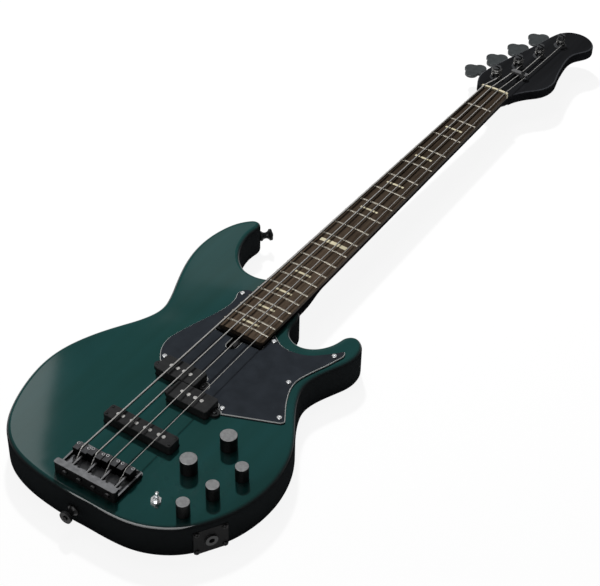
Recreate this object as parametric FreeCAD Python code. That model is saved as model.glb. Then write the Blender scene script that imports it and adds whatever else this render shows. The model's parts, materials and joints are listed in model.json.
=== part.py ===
import FreeCAD, Part
import math
import os

# Four-string solid-body electric bass guitar, in millimetres.
# The string centre line is X = 0, the bridge end of the scale is Y = 0 and the headstock lies
# towards +Y. The treble side is +X and the flat back of the body lies on Z = 0.

Vector = FreeCAD.Vector
UP = Vector(0, 0, 1)
DOWN = Vector(0, 0, -1)
ALONG = Vector(0, 1, 0)
BACKWARD = Vector(0, -1, 0)
ACROSS = Vector(1, 0, 0)

# Overrun of every cut past the face that it leaves, and the slack in picking level edges
OVERRUN = 2.0
LEVEL_SLACK = 0.01
FLAT_SHARE = 0.000001

# Scale, strings and their heights over the frets
SCALE = 863.6
FRET_COUNT = 21
SEMITONES = 12
STRING_NAMES = ("e", "a", "d", "g")
STRING_DIAMETERS = (2.67, 2.16, 1.65, 1.14)
BRIDGE_PITCH = 19.0
NUT_PITCH = 10.9
BRIDGE_ACTION = 3.4
NUT_ACTION = 0.4

# Body slab
BODY_LENGTH = 497.0
BODY_WIDTH = 325.0
BODY_THICKNESS = 45.5
BODY_ROUND = 6.0
TAIL_SETBACK = 55.0
BODY_OUTLINE_SHARES = (
    (0.000, 0.000), (0.123, 0.000), (0.215, 0.006), (0.292, 0.024), (0.363, 0.056),
    (0.425, 0.107), (0.465, 0.159), (0.489, 0.219), (0.494, 0.276), (0.482, 0.332),
    (0.449, 0.392), (0.394, 0.451), (0.345, 0.509), (0.325, 0.557), (0.338, 0.602),
    (0.368, 0.648), (0.391, 0.688), (0.392, 0.722), (0.371, 0.752), (0.335, 0.764),
    (0.305, 0.752), (0.292, 0.726), (0.272, 0.697), (0.237, 0.674), (0.191, 0.665),
    (0.151, 0.673), (0.126, 0.688), (0.115, 0.712), (0.111, 0.736), (0.095, 0.761),
    (0.062, 0.780), (0.000, 0.803), (-0.055, 0.820), (-0.102, 0.823), (-0.138, 0.816),
    (-0.175, 0.814), (-0.212, 0.819), (-0.243, 0.832), (-0.274, 0.854), (-0.298, 0.881),
    (-0.314, 0.915), (-0.318, 0.952), (-0.317, 0.983), (-0.330, 0.995), (-0.352, 0.996),
    (-0.374, 0.986), (-0.403, 0.961), (-0.428, 0.920), (-0.442, 0.865), (-0.440, 0.815), (-0.426, 0.767),
    (-0.394, 0.704), (-0.354, 0.638), (-0.337, 0.586), (-0.357, 0.537), (-0.412, 0.473),
    (-0.465, 0.404), (-0.495, 0.342), (-0.503, 0.292), (-0.491, 0.221), (-0.460, 0.151),
    (-0.409, 0.087), (-0.345, 0.046), (-0.246, 0.017), (-0.123, 0.003),
)

# Neck, heel and headstock
NUT_WIDTH = 40.0
LAST_FRET_WIDTH = 62.0
BOARD_RISE = 10.8
BOARD_THICKNESS = 6.3
BOARD_RADIUS = 250.0
BOARD_OVERHANG = 14.0
BOARD_CORNER = 5.0
POCKET_DEPTH = 16.0
POCKET_CLEARANCE = 0.1
HEEL_CLEARANCE = 0.15
HEEL_SETBACK = 3.0
HEEL_LENGTH = 96.0
HEEL_BLEND_LENGTH = 42.0
NECK_DEPTH_NUT = 15.0
NECK_DEPTH_HEEL = 18.6
HEAD_BLEND_SETBACK = 10.0
HEAD_BLEND_LENGTH = 24.0
HEAD_LENGTH = 222.0
HEAD_WIDTH = 103.0
HEAD_THICKNESS = 15.0
HEAD_STEP = 1.5
HEAD_ROUND = 2.5
NECK_ROUNDNESS = 2.3
HEEL_ROUNDNESS = 5.0
HEAD_ROUNDNESS = 8.0
SECTION_STEPS = 16
BLEND_STEPS = 4
HEAD_OUTLINE_SHARES = (
    (-0.184, 0.041), (-0.233, 0.043), (-0.311, 0.059), (-0.368, 0.101), (-0.408, 0.162),
    (-0.400, 0.246), (-0.345, 0.360), (-0.233, 0.541), (-0.117, 0.734), (-0.058, 0.851),
    (0.010, 0.932), (0.102, 0.977), (0.233, 0.998), (0.379, 0.989), (0.495, 0.953),
    (0.568, 0.899), (0.568, 0.842), (0.515, 0.793), (0.447, 0.739), (0.422, 0.667),
    (0.442, 0.577), (0.495, 0.450), (0.539, 0.360), (0.529, 0.293), (0.461, 0.225),
    (0.350, 0.167), (0.252, 0.104), (0.194, 0.041),
)

# Frets, position markers and nut
FRET_HEIGHT = 1.2
FRET_WIDTH = 2.4
FRET_TANG_WIDTH = 0.6
FRET_TANG_DEPTH = 1.6
FRET_INSET = 0.3
MARKER_FRETS = (3, 5, 7, 9, 15, 17, 19, 21)
OCTAVE_FRET = 12
MARKER_WIDTH = 25.0
MARKER_LENGTH = 3.2
OCTAVE_MARKER_WIDTH = 38.0
OCTAVE_MARKER_LENGTH = 6.0
MARKER_DEPTH = 2.0
NUT_LENGTH = 3.6
NUT_SLOT_CLEARANCE = 0.1

# Truss rod and its adjusting nut at the body end
ROD_RADIUS = 3.0
ROD_DEPTH = 7.0
ROD_END_GAP = 26.0
ROD_NUT_RADIUS = 4.4
ROD_NUT_LENGTH = 12.0
ROD_NOTCH_WIDTH = 13.0
ROD_NOTCH_LENGTH = 19.0
ROD_NOTCH_DEPTH = 8.0

# Neck bolts and their ferrules in the back
BOLT_RADIUS = 2.3
BOLT_HEAD_RADIUS = 4.5
BOLT_HEAD_HEIGHT = 2.4
BOLT_REACH = 14.0
BOLT_SPACING = 36.0
BOLT_ROWS = 3
BOLT_ROW_PITCH = 27.0
BOLT_FIRST_ROW = 15.0
FERRULE_RADIUS = 7.5
FERRULE_HEIGHT = 6.0
FERRULE_INSET = 0.4

# Pickguard
GUARD_THICKNESS = 2.3
GUARD_NECK_GAP = 0.5
GUARD_PICKUP_GAP = 0.6
GUARD_LEFT_SHARES = (
    (-0.688, 0.753), (-0.915, 0.753), (-1.022, 0.736), (-0.993, 0.712), (-0.972, 0.682),
    (-1.028, 0.638), (-1.095, 0.590), (-1.159, 0.539), (-1.187, 0.499), (-1.156, 0.467),
    (-1.095, 0.443), (-1.045, 0.429),
)
GUARD_LOWER_SHARES = ((-1.006, 0.419), (0.000, 0.412), (0.064, 0.366), (1.020, 0.362))
GUARD_RIGHT_SHARES = (
    (1.641, 0.430), (1.593, 0.449), (1.521, 0.477), (1.465, 0.505), (1.429, 0.533),
    (1.426, 0.557), (1.457, 0.584), (1.499, 0.611), (1.549, 0.640), (1.588, 0.668),
    (1.602, 0.692), (1.579, 0.699), (1.540, 0.691), (1.437, 0.666), (1.337, 0.646),
    (1.234, 0.635), (1.131, 0.631), (1.036, 0.633), (0.873, 0.643), (0.688, 0.655),
)
GUARD_CORNER_SHARES = ((1.053, 0.367), (1.618, 0.421), (1.641, 0.423))
GUARD_SCREW_SHARES = (
    (-0.936, 0.734), (0.809, 0.634), (1.532, 0.672), (1.371, 0.539), (1.568, 0.433),
    (1.053, 0.385), (-1.053, 0.449),
)

# Split pickup, bridge pickup, their coils, poles and foam
SPLIT_LENGTH = 56.0
SPLIT_WIDTH = 26.5
SPLIT_RISE = 10.5
SPLIT_BASS_Y = 153.5
SPLIT_TREBLE_Y = 126.4
EAR_RADIUS = 6.0
EAR_REACH = 3.0
EAR_THICKNESS = 2.6
EAR_LIFT = 0.4
SPLIT_POLE_RADIUS = 2.4
SPLIT_POLE_SPREAD = 8.8
LONG_LENGTH = 92.0
LONG_WIDTH = 19.0
LONG_RISE = 11.5
LONG_Y = 57.5
LONG_POLE_RADIUS = 2.2
LONG_POLE_SPREAD = 6.6
COVER_HEIGHT = 18.0
COVER_WALL = 1.5
COVER_CORNER = 3.5
COVER_EDGE = 1.2
COIL_GAP = 0.5
COIL_END_GAP = 6.0
COIL_HEIGHT = 13.0
POLE_PROUD = 0.6
POLE_CLEARANCE = 0.05
PICKUP_POCKET_GAP = 0.8
PICKUP_POCKET_DEPTH = 20.0
LONG_SCREW_INSET = 3.6
LONG_SCREW_LENGTH = 36.0
LONG_SCREW_SHARE = 0.6

# Bridge plate with its tail block and side rails
PLATE_WIDTH = 82.0
PLATE_FRONT = 10.0
PLATE_THICKNESS = 2.2
PLATE_CORNER = 4.0
BLOCK_FRONT_SETBACK = 32.0
BLOCK_LENGTH = 8.0
BLOCK_HEIGHT = 15.0
BLOCK_ROUND = 2.5
RAIL_HEIGHT = 6.0
RAIL_THICKNESS = 2.0
STRING_HOLE_SETBACK = 20.5
STRING_HOLE_RADIUS = 3.0
PLATE_SCREW_INSET = 3.6
PLATE_SCREW_SIDE = 5.5
PLATE_SCREW_SETBACK = 27.0

# Saddles and the screws that set their place
SADDLE_SETBACKS = (4.0, 3.0, 2.0, 1.0)
SADDLE_WIDTH = 17.8
SADDLE_FRONT = 3.0
SADDLE_REAR = 8.5
SADDLE_LIFT = 2.0
SADDLE_TRAVEL = 2.5
SADDLE_SLOT = 3.6
SADDLE_CLEARANCE = 0.2
SADDLE_CROWN = 0.8
SADDLE_SHOULDER = 1.6
SADDLE_SLOPE_SHARE = 1.25
BEND_MARGIN = 0.8
HEIGHT_SCREW_RADIUS = 1.25
HEIGHT_SCREW_SPREAD = 14.0
HEIGHT_SCREW_PROUD = 0.5
HEIGHT_SCREW_FOOT = 0.3
SETTING_SCREW_RADIUS = 1.5
SETTING_SCREW_OFFSET = 3.7
SETTING_SCREW_RISE = 6.0
SETTING_SCREW_HEAD = 3.0
SETTING_SCREW_HEAD_LENGTH = 2.4
SETTING_SCREW_TIP = 1.0
SCREW_FIT = 0.06

# String path, anchors in the back and turns on the posts
KNEE_RADIUS = 6.0
BEND_RADIUS = 3.0
NUT_BEND_RADIUS = 18.0
ANCHOR_RADIUS = 4.2
ANCHOR_FLANGE = 5.6
ANCHOR_FLANGE_THICKNESS = 1.0
ANCHOR_HEIGHT = 12.0
ANCHOR_SEAT = 8.0
BALL_RADIUS = 2.6
BALL_HEIGHT = 4.0
BALL_CLEARANCE = 0.2
LEVEL_RUN = 11.0
WRAP_CLEARANCE = 0.35
WRAP_TURN_SHARE = 0.7
WINDING_TURNS = 2
WINDING_GAP = 0.55
WINDING_CLEARANCE = 0.06
QUARTERS = 4

# String retainer on the headstock
RETAINER_Y = 62.5
RETAINER_LENGTH = 25.0
RETAINER_WIDTH = 7.0
RETAINER_CORNER = 2.3
RETAINER_THICKNESS = 3.2
RETAINER_LIFT = 5.6
RETAINER_POST_RADIUS = 2.6

# Tuning machines
POST_FIRST_X = -19.8
POST_FIRST_Y = 44.5
POST_STEP_X = 12.1
POST_STEP_Y = 43.6
POST_RADIUS = 4.8
POST_HEIGHT = 17.0
POST_SLOT_WIDTH = 3.0
POST_SLOT_DEPTH = 6.0
POST_CAP_RADIUS = 5.6
POST_CAP_HEIGHT = 1.0
POST_TAIL_RADIUS = 3.0
SHAFT_FIT = 0.05
BUSHING_RADIUS = 7.0
BUSHING_LENGTH = 9.0
BUSHING_FLANGE = 9.3
BUSHING_FLANGE_HEIGHT = 2.0
TUNER_PLATE_ALONG = 35.0
TUNER_PLATE_ACROSS = 30.0
TUNER_PLATE_OFFSET = 5.0
TUNER_PLATE_THICKNESS = 1.8
TUNER_PLATE_CORNER = 3.0
TUNER_SCREW_INSET = 3.2
GEAR_TEETH = 20
GEAR_MODULE = 1.0
GEAR_FACE = 4.0
GEAR_ADDENDUM = 0.8
GEAR_DEDENDUM = 1.1
GEAR_PRESSURE_DEGREES = 20.0
TOOTH_WIDTH_SHARE = 0.40
WORM_PITCH_RADIUS = 3.0
WORM_TURNS = 4
WORM_SHAFT_RADIUS = 1.9
WORM_GAP = 0.5
THREAD_SINK = 0.3
LUG_LENGTH = 2.6
LUG_GAP = 1.4
LUG_MARGIN = 2.2
KEY_REACH = 41.5
KEY_COLLAR_RADIUS = 3.4
KEY_COLLAR_LENGTH = 7.0
KEY_LOBE_RADIUS = 9.4
KEY_LOBE_SPREAD = 18.2
KEY_LOBE_STEP = 9.4
KEY_WEB_RADIUS = 12.5
KEY_WEB_STEP = 3.1
KEY_THICKNESS = 4.5
KEY_EDGE = 1.0
GEAR_SCREW_RADIUS = 4.4
GEAR_SCREW_HEIGHT = 1.6

# Controls: five potentiometers with knobs, a toggle switch, the cavity and its cover
KNOB_NAMES = ("volume", "blend", "treble", "middle", "bass")
KNOB_PLACE_SHARES = ((0.280, 0.300), (0.234, 0.195), (0.397, 0.241), (0.366, 0.163), (0.332, 0.089))
KNOB_RADII = (9.7, 9.7, 7.55, 7.55, 7.55)
KNOB_HEIGHT = 18.0
KNOB_GAP = 0.8
KNOB_EDGE = 0.8
KNOB_RECESS_RADIUS = 6.5
KNOB_RECESS_DEPTH = 3.4
POT_CASE_RADIUS = 6.5
POT_CASE_HEIGHT = 9.0
POT_BUSHING_RADIUS = 3.8
POT_SHAFT_RADIUS = 3.0
POT_SHAFT_REACH = 12.0
POT_NUT_RADIUS = 5.8
POT_NUT_HEIGHT = 2.4
TOP_WOOD = 8.0
TOGGLE_PLACE_SHARES = (0.228, 0.085)
TOGGLE_BUSHING_RADIUS = 3.9
TOGGLE_BUSHING_RISE = 5.5
TOGGLE_BORE_RADIUS = 3.0
TOGGLE_NUT_RADIUS = 6.2
TOGGLE_NUT_HEIGHT = 2.6
TOGGLE_NUT_SIDES = 6
TOGGLE_PIVOT_RISE = 1.5
TOGGLE_LEVER_RADIUS = 1.5
TOGGLE_TIP_RADIUS = 2.2
TOGGLE_LEVER_LENGTH = 9.0
TOGGLE_TILT_DEGREES = 12.0
TOGGLE_CASE_WIDTH = 9.0
TOGGLE_CASE_LENGTH = 13.0
TOGGLE_CASE_HEIGHT = 10.0
CAVITY_SHARES = (
    (0.178, 0.074), (0.203, 0.059), (0.258, 0.058), (0.320, 0.071), (0.348, 0.079), (0.372, 0.107),
    (0.402, 0.151), (0.423, 0.201), (0.429, 0.237), (0.415, 0.270), (0.375, 0.286), (0.332, 0.320),
    (0.283, 0.332), (0.237, 0.318), (0.209, 0.282), (0.185, 0.231), (0.172, 0.171), (0.169, 0.111),
)
COVER_LEDGE = 5.0
COVER_PLATE_THICKNESS = 2.2
COVER_PLATE_INSET = 0.2
COVER_PLATE_GAP = 0.4
COVER_SCREW_STEPS = 3
COVER_SCREW_SHARE = 0.6
BOARD_CARD_LENGTH = 48.0
BOARD_CARD_WIDTH = 40.0
BOARD_CARD_THICKNESS = 1.6
CHIP_LENGTH = 10.0
CHIP_WIDTH = 7.0
CHIP_HEIGHT = 3.0
CHIP_COLUMNS = 3
CHIP_ROWS = 2
WIRE_HOLE_RADIUS = 4.0
WIRE_HOLE_RISE = 31.0

# Battery compartment with its hinged lid
BATTERY_PLACE_SHARES = (0.077, 0.294)
BATTERY_LENGTH = 48.5
BATTERY_WIDTH = 26.5
BATTERY_HEIGHT = 17.5
BATTERY_GAP = 0.5
TRAY_WALL = 3.0
TRAY_END = 4.5
TRAY_FLOOR = 1.6
TRAY_CORNER = 2.0
LID_THICKNESS = 2.0
LID_INSET = 0.3
LID_GAP = 0.6
LID_PIN_RADIUS = 0.9
LID_BARREL_RADIUS = 1.0
LID_PIN_REACH = 1.6

# Output jack on the treble side of the tail
JACK_PLACE_SHARES = (0.422, 0.105)
JACK_RISE = 18.0
JACK_PLATE_WIDTH = 39.0
JACK_PLATE_HEIGHT = 34.0
JACK_PLATE_THICKNESS = 1.8
JACK_PLATE_CORNER = 3.0
JACK_SCREW_INSET = 3.6
JACK_BORE_RADIUS = 3.25
JACK_NECK_RADIUS = 5.0
JACK_NUT_RADIUS = 7.0
JACK_NUT_HEIGHT = 2.4
JACK_BARREL_RADIUS = 6.6
JACK_BARREL_LENGTH = 27.0
JACK_END_WALL = 2.0
JACK_HOLE_GAP = 0.8

# Strap buttons
BUTTON_BASE_RADIUS = 6.5
BUTTON_STEM_RADIUS = 4.0
BUTTON_HEAD_RADIUS = 7.5
BUTTON_BASE_LENGTH = 2.0
BUTTON_LENGTH = 15.0
BUTTON_HEAD_LENGTH = 3.0
HORN_BUTTON_SHARES = (-0.326, 0.994)
TAIL_BUTTON_SHARES = (-0.010, 0.000)

# Small screws
SCREW_SHANK_RADIUS = 1.4
SCREW_LENGTH = 12.0
SCREW_HEAD_RADIUS = 2.9
SCREW_HEAD_HEIGHT = 1.7
SCREW_HEAD_ROUND_SHARE = 0.45
RECESS_WIDTH = 0.7
RECESS_DEPTH_SHARE = 0.55
RECESS_REACH_SHARE = 0.6
TUNER_SCREW_LENGTH = 8.0
UPRIGHT_SHARE = 0.9

# Heights worked out from the sizes above
BODY_TOP = BODY_THICKNESS
MID_BODY = BODY_THICKNESS / 2
BOARD_TOP = BODY_TOP + BOARD_RISE
FRET_TOP = BOARD_TOP + FRET_HEIGHT
NECK_TOP = BOARD_TOP - BOARD_THICKNESS
HEEL_FLOOR = BODY_TOP - POCKET_DEPTH
HEAD_TOP = NECK_TOP - HEAD_STEP
HEAD_BACK = HEAD_TOP - HEAD_THICKNESS
PLATE_TOP = BODY_TOP + PLATE_THICKNESS
CAVITY_TOP = BODY_TOP - TOP_WOOD
PIVOT_Z = BODY_TOP + TOGGLE_PIVOT_RISE
SETTING_SCREW_Z = PLATE_TOP + SETTING_SCREW_RISE
GEAR_RADIUS = GEAR_MODULE * GEAR_TEETH / 2
WORM_LEAD = math.pi * GEAR_MODULE
WORM_OFFSET = GEAR_RADIUS + WORM_PITCH_RADIUS
WORM_TIP_RADIUS = WORM_PITCH_RADIUS + GEAR_ADDENDUM
WORM_DROP = TUNER_PLATE_THICKNESS + WORM_GAP + WORM_TIP_RADIUS
WORM_HALF = WORM_LEAD * WORM_TURNS / 2
STRING_COUNT = len(STRING_NAMES)
STRINGS = range(STRING_COUNT)


def fret_y(number):
    """Distance of a fret from the bridge end of the scale."""
    return SCALE / 2 ** (number / SEMITONES)


BOARD_END = fret_y(FRET_COUNT) - BOARD_OVERHANG
HEEL_END = BOARD_END - HEEL_SETBACK
BOARD_AXIS_Z = BOARD_TOP - BOARD_RADIUS


def board_width(y):
    """Width of the fretboard and neck at a place along the strings."""
    taper = (LAST_FRET_WIDTH - NUT_WIDTH) / (SCALE - fret_y(FRET_COUNT))
    return NUT_WIDTH + taper * (SCALE - y)


def board_sag(x):
    """Drop of the cambered board below its crown at a place across it."""
    return BOARD_RADIUS - math.sqrt(BOARD_RADIUS ** 2 - x ** 2)


def string_radius(index):
    return STRING_DIAMETERS[index] / 2


def bridge_x(index):
    return (index - (STRING_COUNT - 1) / 2) * BRIDGE_PITCH


def nut_x(index):
    return (index - (STRING_COUNT - 1) / 2) * NUT_PITCH


def string_point(index, y):
    """Centre of the straight speaking length of a string at a place along it."""
    share = y / SCALE
    x = bridge_x(index) + (nut_x(index) - bridge_x(index)) * share
    low = BRIDGE_ACTION - board_sag(bridge_x(index))
    high = NUT_ACTION - board_sag(nut_x(index))
    z = FRET_TOP + low + (high - low) * share + string_radius(index)
    return Vector(x, y, z)


def body_point(share, z=0):
    """Point given as shares of the body's width and of its length from the tail."""
    return Vector(share[0] * BODY_WIDTH, share[1] * BODY_LENGTH - TAIL_SETBACK, z)


def head_point(share, z=0):
    """Point given as shares of the headstock's width and of its length from the nut."""
    return Vector(share[0] * HEAD_WIDTH, SCALE + share[1] * HEAD_LENGTH, z)


def spline(points, closed):
    curve = Part.BSplineCurve()
    curve.interpolate(Points=points, PeriodicFlag=closed)
    return curve


def smooth_edges(points, closed):
    """Chain of tangent arcs through points, closed to a loop or open."""
    curve = spline(points, closed)
    ways = [curve.tangent(curve.parameter(point))[0] for point in points]
    stops = list(range(1, len(points))) + ([0] if closed else [])
    edges = []
    for start, stop in enumerate(stops):
        edges += biarc(points[start], ways[start], points[stop], ways[stop])
    return edges


def line(start, end):
    return Part.LineSegment(start, end).toShape()


def prism(edges, low, high):
    """Solid between two heights over a closed outline drawn on Z = 0."""
    face = Part.Face(Part.Wire(edges))
    face.translate(Vector(0, 0, low))
    return face.extrude(Vector(0, 0, high - low))


def polygon_prism(points, low, high):
    ends = points[1:] + points[:1]
    return prism([line(start, end) for start, end in zip(points, ends)], low, high)


def cylinder(radius, base, axis, length):
    return Part.makeCylinder(radius, length, base, axis)


def block(low, high):
    """Box between two opposite corners."""
    size = high - low
    return Part.makeBox(size.x, size.y, size.z, low)


def upright_edges(shape):
    return [e for e in shape.Edges if abs(e.tangentAt(e.FirstParameter).z) > UPRIGHT_SHARE]


def edges_at(shape, z):
    """Edges that lie wholly in the level plane at a height."""
    return [e for e in shape.Edges if abs(e.BoundBox.ZMin - z) + abs(e.BoundBox.ZMax - z) < LEVEL_SLACK]


def rounded_block(width, length, height, radius, base):
    """Box with rounded upright edges, standing with its middle on a point."""
    corner = base - Vector(width / 2, length / 2, 0)
    box = Part.makeBox(width, length, height, corner)
    return box.makeFillet(radius, upright_edges(box))


def frame(origin, x_axis, z_axis):
    """Placement whose local X and Z axes point along two given directions."""
    y_axis = z_axis.cross(x_axis)
    rows = []
    for name in ("x", "y", "z"):
        rows += [getattr(v, name) for v in (x_axis, y_axis, z_axis, origin)]
    return FreeCAD.Placement(FreeCAD.Matrix(*rows, 0, 0, 0, 1))


def placed(shape, placement):
    copy = shape.copy()
    copy.Placement = placement.multiply(copy.Placement)
    return copy


def across_to(axis):
    """A direction square to an axis."""
    side = UP if abs(axis.z) < UPRIGHT_SHARE else ACROSS
    return side.cross(axis).normalize()


def seat_frame(point, outward):
    """Placement on a surface with local Z pointing out of it."""
    return frame(point, across_to(outward), outward)


def group(shapes):
    return Part.makeCompound(shapes)


def save(name, shape):
    shape.exportStep("parts/" + name + ".step")


def wood_screw(length, size_share):
    """Round-head screw with a cross recess, its head standing on Z = 0."""
    height = SCREW_HEAD_HEIGHT * size_share
    head = cylinder(SCREW_HEAD_RADIUS * size_share, Vector(0, 0, 0), UP, height)
    head = head.makeFillet(SCREW_HEAD_ROUND_SHARE * height, edges_at(head, height))
    reach = RECESS_REACH_SHARE * SCREW_HEAD_RADIUS * size_share
    floor = height * (1 - RECESS_DEPTH_SHARE)
    half = RECESS_WIDTH * size_share / 2
    top = height + OVERRUN
    first = block(Vector(-reach, -half, floor), Vector(reach, half, top))
    second = block(Vector(-half, -reach, floor), Vector(half, reach, top))
    shank = cylinder(SCREW_SHANK_RADIUS * size_share, Vector(0, 0, 0), DOWN, length)
    return head.cut(first.fuse(second)).fuse(shank)


def screws_at(seats, length, size_share=1):
    """Copies of a screw on seats given as surface point and outward direction."""
    pattern = wood_screw(length, size_share)
    return [placed(pattern, seat_frame(point, outward)) for point, outward in seats]


def screw_holes(seats, length, size_share=1):
    """Holes that the screws on the seats drive into, with the overrun outwards."""
    holes = []
    for point, outward in seats:
        start = point + outward * OVERRUN
        holes.append(cylinder(SCREW_SHANK_RADIUS * size_share, start, outward * -1, length + OVERRUN))
    return holes


def body_points():
    return [body_point(share) for share in BODY_OUTLINE_SHARES]


def edge_seat(share, z):
    """Point on the body's edge nearest to a place, with the outward direction there."""
    curve = spline(body_points(), True)
    parameter = curve.parameter(body_point(share))
    point = curve.value(parameter)
    along = curve.tangent(parameter)[0]
    outward = along.cross(UP).normalize()
    return Vector(point.x, point.y, z), outward


def neck_plan(gap, low, high, start, end):
    """Tapered prism over the neck's width between two places along the strings."""
    half_start = board_width(start) / 2 + gap
    half_end = board_width(end) / 2 + gap
    points = [Vector(-half_start, start, 0), Vector(half_start, start, 0)]
    points += [Vector(half_end, end, 0), Vector(-half_end, end, 0)]
    return polygon_prism(points, low, high)


def bolt_places():
    places = []
    for row in range(BOLT_ROWS):
        y = HEEL_END + BOLT_FIRST_ROW + row * BOLT_ROW_PITCH
        places += [Vector(side * BOLT_SPACING / 2, y, 0) for side in (-1, 1)]
    return places


def pole_places(strings, y, spread):
    places = []
    for index in strings:
        x = string_point(index, y).x
        places += [Vector(x + side * spread / 2, y, 0) for side in (-1, 1)]
    return places


def middle_of(places):
    total = Vector(0, 0, 0)
    for place in places:
        total = total + place
    return total * (1 / len(places))


HALF_COUNT = STRING_COUNT // 2
BASS_POLES = pole_places(STRINGS[:HALF_COUNT], SPLIT_BASS_Y, SPLIT_POLE_SPREAD)
TREBLE_POLES = pole_places(STRINGS[HALF_COUNT:], SPLIT_TREBLE_Y, SPLIT_POLE_SPREAD)
LONG_POLES = pole_places(STRINGS, LONG_Y, LONG_POLE_SPREAD)
SPLIT_MIDDLES = (middle_of(BASS_POLES), middle_of(TREBLE_POLES))
LONG_MIDDLE = middle_of(LONG_POLES)


def ear_places(middle):
    reach = SPLIT_LENGTH / 2 + EAR_REACH
    return [middle + Vector(side * reach, 0, 0) for side in (-1, 1)]


def ears(middle, radius, low, high):
    """Mounting ears at the two ends of a half of the split pickup."""
    parts = []
    for place in ear_places(middle):
        base = Vector(place.x, place.y, low)
        parts.append(cylinder(radius, base, UP, high - low))
        inner = middle.x + math.copysign(SPLIT_LENGTH / 2 - EAR_REACH, place.x - middle.x)
        left, right = sorted((place.x, inner))
        parts.append(block(Vector(left, place.y - radius, low), Vector(right, place.y + radius, high)))
    return parts


def pickup_block(middle, length, width, low, high, gap):
    """Outer form of a pickup between two heights, grown by a gap."""
    base = Vector(middle.x, middle.y, low)
    return rounded_block(length + 2 * gap, width + 2 * gap, high - low, COVER_CORNER + gap, base)


def long_seats():
    """Seats of the small screws at the corners of the bridge pickup."""
    x = LONG_LENGTH / 2 - LONG_SCREW_INSET
    y = LONG_WIDTH / 2 - LONG_SCREW_INSET
    top = LONG_MIDDLE + UP * (BODY_TOP + LONG_RISE)
    return [(top + Vector(sx * x, sy * y, 0), UP) for sx in (-1, 1) for sy in (-1, 1)]


def pickup_seats():
    """Seats of the screws that hold the two halves of the split pickup down."""
    ear_top = BODY_TOP + EAR_LIFT + EAR_THICKNESS
    places = [place for middle in SPLIT_MIDDLES for place in ear_places(middle)]
    return [(Vector(place.x, place.y, ear_top), UP) for place in places]


GUARD_CORE = SPLIT_MIDDLES[1].x + SPLIT_LENGTH / 2


def guard_point(share, z=0):
    """Point of the guard: shares up to one reach the pickup's end, those past it the body's edge."""
    inner = max(-1, min(1, share[0]))
    outer = share[0] - inner
    x = inner * GUARD_CORE + outer * (BODY_WIDTH / 2 - GUARD_CORE)
    return Vector(x, body_point(share).y, z)


def guard_seats():
    top = BODY_TOP + GUARD_THICKNESS
    return [(guard_point(share, top), UP) for share in GUARD_SCREW_SHARES]


def plate_seats():
    """Seats of the screws that hold the bridge plate, three in front and two behind."""
    front = PLATE_FRONT - PLATE_SCREW_INSET
    side = PLATE_WIDTH / 2 - PLATE_SCREW_SIDE
    places = [Vector(-side, front, PLATE_TOP), Vector(0, front, PLATE_TOP), Vector(side, front, PLATE_TOP)]
    places += [Vector(sx * side, -PLATE_SCREW_SETBACK, PLATE_TOP) for sx in (-1, 1)]
    return [(place, UP) for place in places]


def grown(points, distance):
    """Points of a closed outline pushed outwards by a distance."""
    moved = []
    count = len(points)
    for index in range(count):
        along = points[(index + 1) % count] - points[index - 1]
        moved.append(points[index] + along.cross(UP).normalize() * distance)
    return moved


CAVITY_POINTS = [body_point(share) for share in CAVITY_SHARES]


def cover_seats():
    places = grown(CAVITY_POINTS, COVER_LEDGE / 2)[::COVER_SCREW_STEPS]
    z = COVER_PLATE_INSET + SCREW_HEAD_HEIGHT * COVER_SCREW_SHARE
    return [(Vector(place.x, place.y, z), DOWN) for place in places]


JACK_POINT, JACK_OUT = edge_seat(JACK_PLACE_SHARES, JACK_RISE)
JACK_FRAME = frame(JACK_POINT, UP.cross(JACK_OUT), JACK_OUT)


def jack_seats():
    x = JACK_PLATE_WIDTH / 2 - JACK_SCREW_INSET
    y = JACK_PLATE_HEIGHT / 2 - JACK_SCREW_INSET
    local = [Vector(sx * x, sy * y, 0) for sx in (-1, 1) for sy in (-1, 1)]
    return [(JACK_FRAME.multVec(place), JACK_OUT) for place in local]


def button_seats():
    return [edge_seat(share, MID_BODY) for share in (TAIL_BUTTON_SHARES, HORN_BUTTON_SHARES)]


def button_screw_seats():
    return [(point + outward * BUTTON_LENGTH, outward) for point, outward in button_seats()]


TRAY_LENGTH = BATTERY_LENGTH + 2 * (BATTERY_GAP + TRAY_END)
TRAY_WIDTH = BATTERY_WIDTH + 2 * (BATTERY_GAP + TRAY_WALL)
LID_AXIS_Z = LID_INSET + LID_BARREL_RADIUS
BATTERY_FLOOR = LID_INSET + LID_THICKNESS + LID_GAP
TRAY_HEIGHT = BATTERY_FLOOR + BATTERY_HEIGHT + BATTERY_GAP + TRAY_FLOOR
TRAY_MIDDLE = body_point(BATTERY_PLACE_SHARES)
LID_REACH = BATTERY_LENGTH / 2 + BATTERY_GAP + LID_BARREL_RADIUS
LID_AXIS_X = TRAY_MIDDLE.x - LID_REACH


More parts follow.
